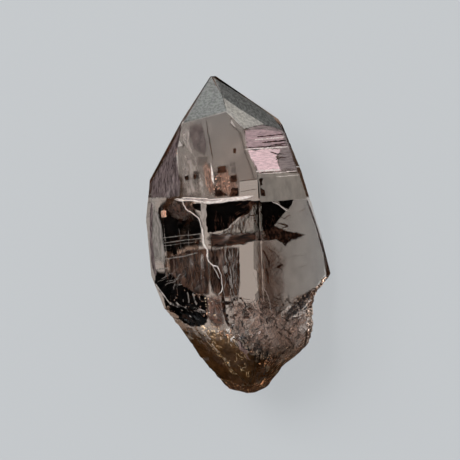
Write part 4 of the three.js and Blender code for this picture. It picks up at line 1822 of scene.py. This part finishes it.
@dataclass(frozen=True)
class UpperFront(Region):
    """Films and brown windows between the tip faces and the bright bar."""

    upper_mauve_films: Inclusion = Inclusion(MAUVE, (
        Flake(((188, 123), (202, 121), (205, 132), (209, 147), (206, 158), (194, 152), (189, 138)),
              1.4, 0.1),
    ))
    upper_dark_side: Inclusion = Inclusion(DARK_MAUVE, (
        Flake(((182, 124.5), (179, 140), (176, 152), (178, 168), (181, 184), (180, 198), (165, 199),
               (150.2, 199), (150.4, 184.5), (161, 165), (172.4, 144.5)), 0.3, 0.06, wave=0.0, jag=0.1),
    ))
    upper_pale_films: Inclusion = Inclusion(PALE, (
        # Crescent.
        Flake(((187, 126), (190, 131), (188.5, 141), (191, 150), (194, 156), (187, 150), (183, 142),
               (182.5, 133)), 0.7, 0.08),
        # Pale column.
        Flake(((184, 152), (197, 155), (199, 170), (198, 188), (201, 198), (182, 198), (181, 176)),
              1.8, 0.08),
        # Pale streak.
        Flake(((199, 173), (202, 178), (206, 198), (203, 199), (199.5, 188)), 0.8, 0.08),
    ))
    upper_smoke: Inclusion = Inclusion(SMOKE, (
        # Smoke.
        Flake(((182, 123), (226, 111.5), (246, 129), (251, 152), (259, 173), (260, 180), (240, 182),
               (239.5, 199), (202, 200), (180, 199), (178, 168), (177, 146)), 2.2, 0.1, wave=0.0, jag=0.1),
        # Edge smoke.
        Flake(((227, 111.5), (231.5, 113), (239, 123), (244.5, 129), (249.5, 150), (245, 151), (237, 130)),
              0.3, 0.05, wave=0.0, jag=0.1),
        Flake(((245, 151), (249.5, 150), (258.5, 174), (259, 180), (254.5, 180), (251, 168)),
              0.3, 0.05, wave=0.0, jag=0.1),
    ))
    copper_band: Inclusion = Inclusion(COPPER_FILM, (
        # Copper band.
        Flake(((202, 166), (206, 160), (211, 166), (213, 178), (216, 194), (210, 196), (205, 185)),
              1.3, 0.1),
        # Brown block.
        Flake(((216, 167), (228, 164), (229, 174), (239, 173), (239, 197), (214, 199), (215, 182)),
              1.8, 0.2, jag=0.3),
    ))
    brown_windows: Inclusion = Inclusion(BROWN_FILM, (
        Blocks((190, 156, 236, 196), 16, 11, (1.0, 2.6), (4, 11), (4, 10), (0.05, 0.15)),
    ))
    dark_window_blocks: Inclusion = Inclusion(BROWN, (
        # Dark blocks.
        Flake(((230, 175), (237, 174), (237.5, 182), (230, 183)), 1.3, 0.2, jag=0.5),
        Flake(((231, 188), (238.5, 187), (238.5, 196), (229, 197)), 1.3, 0.2, jag=0.5),
        Flake(((217, 167), (226, 165), (227, 172), (217, 174)), 1.4, 0.15, jag=0.5),
        Flake(((213, 186), (222, 191), (229, 196), (214, 197)), 1.4, 0.15, jag=0.6),
        # Spots.
        Flake(((184.5, 176), (188.5, 175), (189, 180), (185, 181)), 1.0, 0.15),
        Flake(((193, 175), (196, 174), (196.5, 178.5), (193.5, 179.5)), 1.0, 0.15),
        Flake(((232.5, 148.5), (236.5, 148), (235.5, 154), (233, 153)), 0.6, 0.2),
        # Fine lines.
        Vein(((239, 181.5), (248, 180), (259, 178.5)), 0.7, 0.07, 0.05),
        Vein(((206, 120), (208, 133), (211, 148), (213, 160)), 1.2, 0.1, 0.06),
        Vein(((240, 192), (249, 190), (258, 189)), 0.7, 0.06, 0.05),
    ))
    bright_wedge: Inclusion = Inclusion(WHITE, (
        Flake(((210.5, 161), (213, 170), (214.5, 186), (211.5, 180)), 0.9, 0.06),
    ))
    copper_glints: Inclusion = Inclusion(COPPER, (
        # Glints.
        Glints((214, 175, 230, 190), 44, 12, (0.8, 1.4), (0.06, 0.2), 0.5),
        # Side glints.
        Glints((171, 148, 176, 166), 9, 13, (0.3, 0.6), (0.07, 0.18), 0.5),
    ))
    upper_pale_streaks: Inclusion = Inclusion(MAUVE, (
        Strands((165, 166, 178, 190), 20, 14, (0.3, 0.9), (8, 18), (2, 14), (0.05, 0.14), 1.2),
    ))


@dataclass(frozen=True)
class MiddleBand(Region):
    """The bright bar, the black wedges under it that meet at the right prism edge, and the brown band."""

    bright_bar: Inclusion = Inclusion(WHITE, (
        Vein(((176, 200), (190, 200.5), (207, 202.5)), 1.0, 0.22, 0.1),
        Vein(((200, 202.8), (214, 202.2), (232, 200), (251, 197)), 1.0, 0.34, 0.1),
        Vein(((207, 199.8), (222, 198.8), (238, 197.4), (254, 196)), 1.2, 0.12, 0.1),
        Vein(((182, 197.5), (196, 198.4), (208, 198.6)), 1.2, 0.14, 0.1),
        Vein(((260, 196.5), (264, 197), (268, 199)), 0.5, 0.22, 0.1),
        Vein(((272, 201.5), (279, 205), (287, 211)), 0.6, 0.1, 0.08),
    ))
    bright_bar_film: Inclusion = Inclusion(STRIAE, (
        Flake(((181, 198), (206, 199), (230, 197.3), (254, 195), (256, 198), (232, 201.5), (207, 204.3)),
              1.3, 0.08, jag=0.3),
    ))
    black_wedges: Inclusion = Inclusion(BLACK, (
        # Left wedge.
        Flake(((206, 204), (216, 203), (232, 201.5), (251, 200), (252, 206), (250, 213), (243, 216),
               (236, 219), (231, 224), (228, 228), (221, 231), (208, 233), (206.5, 222)),
              0.6, 1.1, wave=0.0, jag=1.0, under=UNDER_FRONT),
        # Right wedge.
        Flake(((260, 201), (266, 200), (272, 200.5), (279, 205), (286, 211), (281, 217), (277, 222),
               (270, 230), (261, 232), (259.8, 216)), 0.55, 1.0, wave=0.0, jag=0.6, under=UNDER_RIGHT),
        # Spur.
        Flake(((277.5, 200.5), (287, 197.5), (294.6, 197), (292, 203), (288, 209.5), (281.5, 206)),
              0.3, 0.5, wave=0.0, jag=0.8, under=UNDER_RIGHT),
    ), ("black_wedge",))
    brown_star: Inclusion = Inclusion(BROWN, (
        Flake(((261, 230), (268, 227), (274, 225), (281, 228), (287, 231), (294, 232), (307, 235),
               (299, 238.5), (292, 241), (289, 243), (286, 247), (281, 242), (274, 240), (262, 241)),
              0.3, 0.5, wave=0.0, jag=1.2, under=UNDER_RIGHT),
    ), ("brown_spear",))
    brown_curls: Inclusion = Inclusion(BROWN, (
        # Reddish.
        Flake(((243, 202), (254, 200), (257, 206), (252, 211), (246, 208)), 2.0, 0.3, jag=1.0),
        # Curls.
        Vein(((243, 216), (246, 221), (244, 228)), 1.2, 0.08, 0.08, 1.0),
        Vein(((253, 214), (256, 218), (254, 223)), 0.8, 0.08, 0.08, 1.0),
        Vein(((278, 217), (284, 219), (290, 215)), 0.5, 0.12, 0.1, 1.0),
        Vein(((283, 223), (289, 226), (282, 228)), 0.5, 0.14, 0.1, 1.0),
        Vein(((297, 213), (303, 210.5), (306, 207)), 0.5, 0.04, 0.04, 0.8),
        Vein(((208, 245), (212, 245.5), (218, 244)), 0.9, 0.18, 0.12, 0.5),
        # Filaments.
        Strands((236, 206, 256, 226), 12, 61, (0.8, 1.6), (4, 13), (-24, 18), (0.03, 0.09), 1.8),
        # Haze curls.
        Strands((264, 240, 283, 316), 46, 62, (0.6, 1.6), (3, 11), (-70, 70), (0.03, 0.09), 2.5),
        # Fringes.
        Strands((264, 218, 284, 232), 26, 63, (0.4, 0.9), (3, 9), (-70, 20), (0.04, 0.13), 2.0),
        Strands((214, 216, 246, 231), 40, 64, (1.2, 1.7), (4, 12), (-8, 8), (0.04, 0.14), 1.2),
        Strands((238, 204, 256, 217), 26, 65, (1.1, 1.7), (3, 9), (55, 85), (0.04, 0.13), 1.5),
    ))
    right_smoke: Inclusion = Inclusion(RIGHT_SMOKE, (
        # Smoke.
        Flake(((261, 201), (284, 199), (307, 198), (323, 240), (327.5, 264), (325.5, 275), (314, 290),
               (290, 306), (268, 322), (262, 290)), 2.6, 0.1, jag=0.1),
        # Under wedge.
        Flake(((218, 234), (229, 229), (236, 222), (241, 216), (251, 214), (253, 204), (257, 203),
               (258.5, 232), (236, 234)), 1.8, 0.1, jag=1.6),
    ))
    brown_band: Inclusion = Inclusion(DARK_BAND, (
        Flake(((207, 233), (226, 232), (245, 231), (258.5, 229), (259, 240), (244, 245), (228, 247),
               (212, 249), (206, 243)), 2.2, 0.3, jag=1.0),
    ))
    right_haze: Inclusion = Inclusion(HAZY_BROWN, (
        Flake(((261, 232), (272, 238), (277, 252), (272, 268), (277, 284), (273, 300), (279, 320),
               (266, 322), (261.5, 296), (261, 270)), 1.3, 0.12, jag=2.5),
        Flake(((261, 234), (280, 240), (288, 256), (283, 272), (289, 288), (284, 304), (288, 318),
               (266, 322), (261.5, 296), (261, 270)), 1.8, 0.12, jag=2.5),
    ))


@dataclass(frozen=True)
class LeftWindows(Region):
    """The dark zone and its pale crossing lines, a pale grey left window of painted light, and a warm one
    below.
    """

    left_dark_zone: Inclusion = Inclusion(BLACK_FILM, (
        Flake(((162, 206), (176, 201), (192, 203), (202, 215), (203, 240), (204, 248), (188, 249),
               (168, 256), (165, 240), (162, 222)), 0.5, 0.9, wave=0.0, jag=1.2, under=UNDER_FRONT),
    ), ("black_block",))
    left_black_parts: Inclusion = Inclusion(BLACK, (
        Flake(((161, 219), (170, 216), (179, 221), (178, 235), (164, 237)), 1.5, 0.4, jag=1.0),
        Flake(((190, 222), (201, 220), (203, 234), (191, 234)), 1.5, 0.4, jag=1.0),
        Flake(((163, 238), (167, 238), (169, 250), (165, 252)), 1.3, 0.2),
        Flake(((172, 243), (176, 243), (177, 254), (173, 255)), 1.3, 0.2),
        Flake(((191, 203), (204, 204), (203, 212), (194, 209)), 1.4, 0.3, jag=0.8),
    ))
    left_warm_patch: Inclusion = Inclusion(BROWN_FILM, (
        Flake(((172, 199), (190, 198), (196, 210), (188, 222), (174, 220), (166, 210)), 1.1, 0.12),
    ))
    left_warm_window: Inclusion = Inclusion(WARM, (
        Flake(((166, 257), (188, 249), (207, 247), (210, 268), (210, 296), (198, 296), (180, 286),
               (169, 274)), 2.4, 0.12, jag=0.3),
    ))
    left_warm_streaks: Inclusion = Inclusion(BROWN_FILM, (
        Strands((170, 258, 206, 285), 34, 21, (1.0, 2.2), (8, 30), (-2, 4), (0.05, 0.2), 0.8),
    ))
    left_grid_lines: Inclusion = Inclusion(GREY, (
        # Grid.
        Vein(((162, 238), (180, 236), (202, 233.5)), 0.8, 0.09, 0.06),
        Vein(((163, 243), (182, 240.5), (203, 238)), 0.8, 0.1, 0.06),
        Vein(((164, 246), (178, 244), (196, 242)), 0.8, 0.05, 0.06),
        Vein(((166, 259), (182, 256.5), (198, 253)), 0.8, 0.12, 0.06),
        Vein(((179, 228), (181, 250)), 0.8, 0.035, 0.05),
        Vein(((188, 230), (189, 247)), 0.8, 0.03, 0.05),
        # Window lines.
        Vein(((155, 178), (158, 186), (161, 193)), 0.4, 0.16, 0.06),
        Vein(((152, 193), (155, 205), (158, 222), (159, 240)), 0.4, 0.12, 0.06),
        Vein(((156, 270), (161, 269), (167, 268)), 0.5, 0.22, 0.08),
        Vein(((152, 196), (153, 215), (152, 236)), 0.4, 0.06, 0.05),
    ))
    # Painted light: a pale grey film with a glow for light through the clear left window.
    left_window_painted_light: Inclusion = Inclusion(GREY, (
        Flake(((153, 200), (158, 210), (162.5, 226), (167, 267), (152.5, 262), (151, 240), (151.5, 215)),
              0.6, 0.08, wave=0.03, jag=0.4),
    ))
    left_bright_column: Inclusion = Inclusion(PALE, (
        Flake(((200.5, 252), (203.5, 252), (204.5, 272), (203, 289), (200.5, 280)), 1.0, 0.08),
    ))
    # Painted shade: a dark strip along the left outline, where refraction darkens the edge.
    painted_left_edge_shade: Inclusion = Inclusion(DARK_MAUVE, (
        Flake(((151, 200), (153, 204), (152.5, 220), (152, 240), (153.5, 260), (156.5, 276), (155, 278),
               (151, 262), (149.6, 238), (149.8, 215)), 0.25, 0.05, wave=0.0, jag=0.1),
    ))
    left_window_marks: Inclusion = Inclusion(BROWN, (
        Glints((151, 222, 160, 262), 18, 22, (0.3, 0.5), (0.05, 0.16), 0.4),
    ))
    copper_spot: Inclusion = Inclusion(COPPER, (
        Flake(((161, 211), (165, 210), (166.5, 216.5), (162, 217.5)), 0.7, 0.1),
    ))


@dataclass(frozen=True)
class FrontCrack(Region):
    """The white crack that zigzags down the front, its branches and the pale strip over it."""

    white_crack: Inclusion = Inclusion(WHITE, (
        Vein(((181, 198), (184, 206), (187, 211), (192, 213), (197, 217), (201, 224), (203, 232)),
             0.7, 0.13, 0.2, 0.7),
        Vein(((202.5, 228), (203.4, 243), (205, 247), (207, 250), (207.2, 259)), 0.7, 0.22, 0.2, 0.7),
        Vein(((207, 257), (208.5, 261), (213, 265), (217.7, 266.5), (219.5, 271)), 0.7, 0.15, 0.2, 0.8),
        Vein(((218.5, 268), (221.7, 279), (221.9, 290), (219, 296)), 0.7, 0.09, 0.2, 0.9),
        Vein(((212, 264), (216, 272), (219.5, 279)), 0.8, 0.07, 0.1, 0.6),
        Vein(((174, 199), (182, 199), (189, 197)), 0.7, 0.1, 0.1, 0.8),
    ))
    pale_strip: Inclusion = Inclusion(PALE, (
        # Strip.
        Flake(((200, 196), (206, 196), (206, 215), (205.5, 232), (204.5, 246), (202, 236), (200.5, 216)),
              1.0, 0.08, jag=0.4),
        # Lower line: a painted highlight, the pale line that the prism edge's ridge shows.
        Vein(((262, 284), (266, 291), (269.5, 300), (271, 312), (271, 322)), 0.5, 0.13, 0.1, 0.8),
        Vein(((270, 318), (275, 325), (283, 329), (292, 326)), 0.6, 0.07, 0.1, 0.9),
        Vein(((253, 272), (256, 279), (256.5, 287)), 0.6, 0.06, 0.1, 0.6),
    ))


@dataclass(frozen=True)
class CentreColumn(Region):
    """Dark and bright upright streaks and curls left of the clean window."""

    centre_film: Inclusion = Inclusion(WARM, (
        Flake(((207, 248), (225, 246), (239.5, 246), (240, 272), (239.5, 298), (224, 300), (212, 294),
               (208, 276)), 2.4, 0.12, jag=0.4),
    ))
    centre_dark_streaks: Inclusion = Inclusion(BROWN, (
        # Dark streaks.
        Strands((210, 255, 239, 288), 30, 31, (1.0, 2.2), (10, 40), (-3, 4), (0.06, 0.24), 1.6),
        # Dark edge.
        Vein(((238.5, 247), (239, 268), (238, 298)), 1.0, 0.18, 0.12, 0.8),
        # Right marks.
        Vein(((263, 250), (267, 258), (270, 268)), 0.5, 0.26, 0.15, 0.8),
        Vein(((266, 268), (268.5, 275), (268, 283)), 0.5, 0.3, 0.15, 0.8),
        Vein(((262, 259), (264, 268), (267, 276)), 0.5, 0.16, 0.12, 0.8),
        Vein(((276.5, 268), (279, 266.5), (282.5, 264.5)), 0.5, 0.34, 0.2, 0.3),
        Vein(((284, 259), (296, 256), (306, 254.5)), 0.5, 0.03, 0.03, 1.6),
        Vein(((298, 267), (303, 266), (309, 263)), 0.5, 0.03, 0.03, 1.6),
        Vein(((222.5, 296), (224, 308), (224.5, 318), (227, 327)), 0.8, 0.5, 0.3, 0.5),
        # Squares.
        Blocks((226, 298, 252, 318), 16, 33, (0.8, 1.8), (2, 5), (2, 4), (0.05, 0.15)),
    ))
    centre_pale_streaks: Inclusion = Inclusion(PALE, (
        # Pale streaks.
        Strands((224, 252, 238, 290), 26, 32, (0.6, 1.6), (6, 28), (-6, 6), (0.05, 0.16), 2.0),
        # Curls.
        Flake(((223, 266), (227, 264), (229, 269), (226, 275), (222.5, 272)), 0.8, 0.12, jag=1.2),
    ))


@dataclass(frozen=True)
class LowerLeftPatch(Region):
    """The jagged black patch at the lower left, with painted highlights as sparks in it and along the broken
    rim.
    """

    lower_black_patch: Inclusion = Inclusion(BLACK, (
        Flake(((168, 287), (178, 285), (187, 289), (198, 295), (208, 301), (208, 312), (205, 321),
               (194, 325), (184, 322), (176, 311), (168, 299)),
              0.6, 1.2, wave=0.0, jag=1.8, under=UNDER_FRONT),
        Flake(((156, 272), (166, 274), (172, 284), (170, 296), (160, 292), (155, 283)), 1.0, 0.4, jag=1.2),
        Flake(((168, 288), (178, 285), (187, 289), (190, 302), (184, 312), (172, 309), (166, 299)),
              1.2, 0.4, jag=1.6),
        Flake(((190, 297), (200, 296), (208, 302), (208, 311), (198, 312), (190, 308)), 1.2, 0.4, jag=1.4),
        Flake(((176, 308), (190, 311), (205, 312), (206, 321), (194, 326), (184, 324)), 1.4, 0.4, jag=1.4),
    ), ("black_patch",))
    lower_dark_shadow: Inclusion = Inclusion(BLACK_FILM, (
        Flake(((153, 268), (172, 272), (190, 287), (209, 296), (210, 315), (200, 327), (184, 326),
               (168, 306), (156, 288)), 2.6, 0.3, jag=2.0),
    ))
    lower_curls: Inclusion = Inclusion(PALE, (
        # Curls.
        Strands((158, 272, 182, 286), 12, 41, (0.4, 0.8), (6, 14), (20, 80), (0.04, 0.12), 2.5),
        # Scratches.
        Strands((174, 298, 204, 322), 14, 43, (0.3, 0.7), (3, 8), (-75, 75), (0.03, 0.07), 1.5),
        # Bright strokes: painted highlights on the patch.
        Vein(((192.5, 293), (195, 300), (196.5, 305)), 0.5, 0.2, 0.1, 0.5),
        Vein(((187.5, 292), (188.5, 298), (189, 303)), 0.5, 0.14, 0.1, 0.5),
        Vein(((176, 302), (182, 307), (186, 306)), 0.5, 0.12, 0.1, 0.8),
        Vein(((190, 311), (198, 309), (206, 313)), 0.5, 0.12, 0.1, 0.8),
    ))
    # Painted highlights: glowing white dashes where the broken rim mirrors the light.
    painted_rim_highlights: Inclusion = Inclusion(WHITE, (
        Vein(((156, 284), (162, 293), (170, 304)), 0.4, 0.12, 0.1, 0.4),
        Vein(((171, 306), (178, 317), (186, 327)), 0.4, 0.12, 0.1, 0.4),
        Vein(((187, 330), (190, 335), (192, 339)), 0.3, 0.2, 0.1, 0.6),
        Vein(((195, 343), (199, 350), (201, 353)), 0.3, 0.24, 0.1, 0.6),
        Vein(((204, 357), (207, 361), (212, 367)), 0.3, 0.22, 0.1, 0.6),
    ))
    # Painted highlights: glowing copper glints where the patch catches the light.
    lower_sparks: Inclusion = Inclusion(COPPER, (
        Glints((172, 290, 208, 325), 30, 42, (0.4, 0.9), (0.05, 0.15), 0.7),
    ))


@dataclass(frozen=True)
class Root(Region):
    """The etched network over the base, the amber stain in it and its golden sparks."""

    etched_network: Inclusion = Inclusion(NETWORK, (
        # Network.
        Flake(((226, 300), (262, 298), (280, 310), (300, 318), (312, 310), (310, 336), (300, 350),
               (283, 362), (262, 352), (240, 350), (226, 330)), 1.2, 0.1, jag=2.0),
        # Network strands.
        Strands((228, 300, 310, 350), 120, 53, (0.5, 1.3), (3, 12), (-80, 80), (0.05, 0.16), 2.5),
    ))
    dark_network: Inclusion = Inclusion(DARK_NETWORK, (
        # Right ridge.
        Flake(((315, 289), (308, 290), (300, 298), (291, 306), (281, 317), (284, 322), (296, 316),
               (306, 306), (312, 298)), 0.8, 0.15, jag=1.5),
        # Dark strands.
        Strands((228, 298, 312, 350), 190, 54, (0.6, 1.5), (4, 15), (-80, 80), (0.05, 0.22), 3.0),
        # Upright strands.
        Strands((256, 342, 288, 362), 40, 55, (0.4, 0.8), (8, 22), (-12, 6), (0.05, 0.16), 1.5),
    ))
    reddish_film: Inclusion = Inclusion(REDDISH, (
        # Reddish.
        Flake(((205, 293), (222, 294), (227, 310), (224, 328), (214, 334), (206, 324)), 1.2, 0.15, jag=2.0),
        # Red strokes.
        Strands((207, 298, 224, 324), 14, 56, (0.6, 1.0), (6, 18), (-10, 10), (0.06, 0.2), 1.5),
    ))
    amber_stain: Inclusion = Inclusion(AMBER, (
        # Amber.
        Flake(((187, 331), (204, 329), (224, 336), (244, 350), (264, 354), (266, 370), (250, 389),
               (232, 388), (211, 371), (196, 349)), 0.9, 0.1, jag=0.6),
        # Deep amber.
        Flake(((180, 316), (207, 325), (236, 344), (268, 350), (296, 350), (283, 364), (250, 388),
               (233, 386), (206, 368)), 8.5, 0.1, jag=0.5),
    ))
    amber_heart: Inclusion = Inclusion(DARK_AMBER, (
        Flake(((238, 352), (252, 350), (264, 354), (260, 368), (250, 378), (240, 374), (236, 364)),
              0.6, 0.06, jag=0.5),
    ))
    pink_tongue: Inclusion = Inclusion(ROSE, (
        Flake(((236, 339), (242, 344), (248, 352), (251, 362), (243, 356), (236, 348)), 1.0, 0.12),
    ))
    golden_sparks: Inclusion = Inclusion(GOLD, (
        # Sparks.
        Glints((204, 344, 246, 378), 60, 51, (0.35, 0.7), (0.04, 0.16), 0.7),
        # Left sparks.
        Glints((186, 326, 214, 358), 90, 52, (0.3, 0.7), (0.06, 0.2), 0.7),
        # Side sparks.
        Glints((204, 296, 213, 334), 30, 58, (0.3, 0.8), (0.05, 0.16), 0.7),
        # Gold strokes.
        Strands((196, 336, 244, 378), 60, 57, (0.3, 0.6), (2, 8), (-70, 30), (0.03, 0.09), 1.5),
    ))


REGIONS = (
    TipFrost, SteepFace, UpperFront, MiddleBand, LeftWindows, FrontCrack, CentreColumn, LowerLeftPatch, Root,
)


def main() -> None:
    """Builds the stage, the crystal and what is inside it, and reports each piece."""
    logging.basicConfig(level=logging.INFO, format="%(name)s: %(message)s")
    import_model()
    boxes = np.array([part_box(node) for node in CRYSTAL_NODES]) / MM
    low, high = boxes[:, 0].min(axis=0), boxes[:, 1].max(axis=0)
    view = Viewpoint()
    view.camera(high[2])
    Studio().build()
    shape = CrystalShape(low, high)
    crystal = shape.build()
    report.info("%s: %d faces", crystal.name, len(crystal.data.polygons))
    sight = Sight(view, shape)
    for region in REGIONS:
        for piece in region().build(sight):
            report.info("%s: %d faces", piece.name, len(piece.data.polygons))


if __name__ == "__main__":
    main()
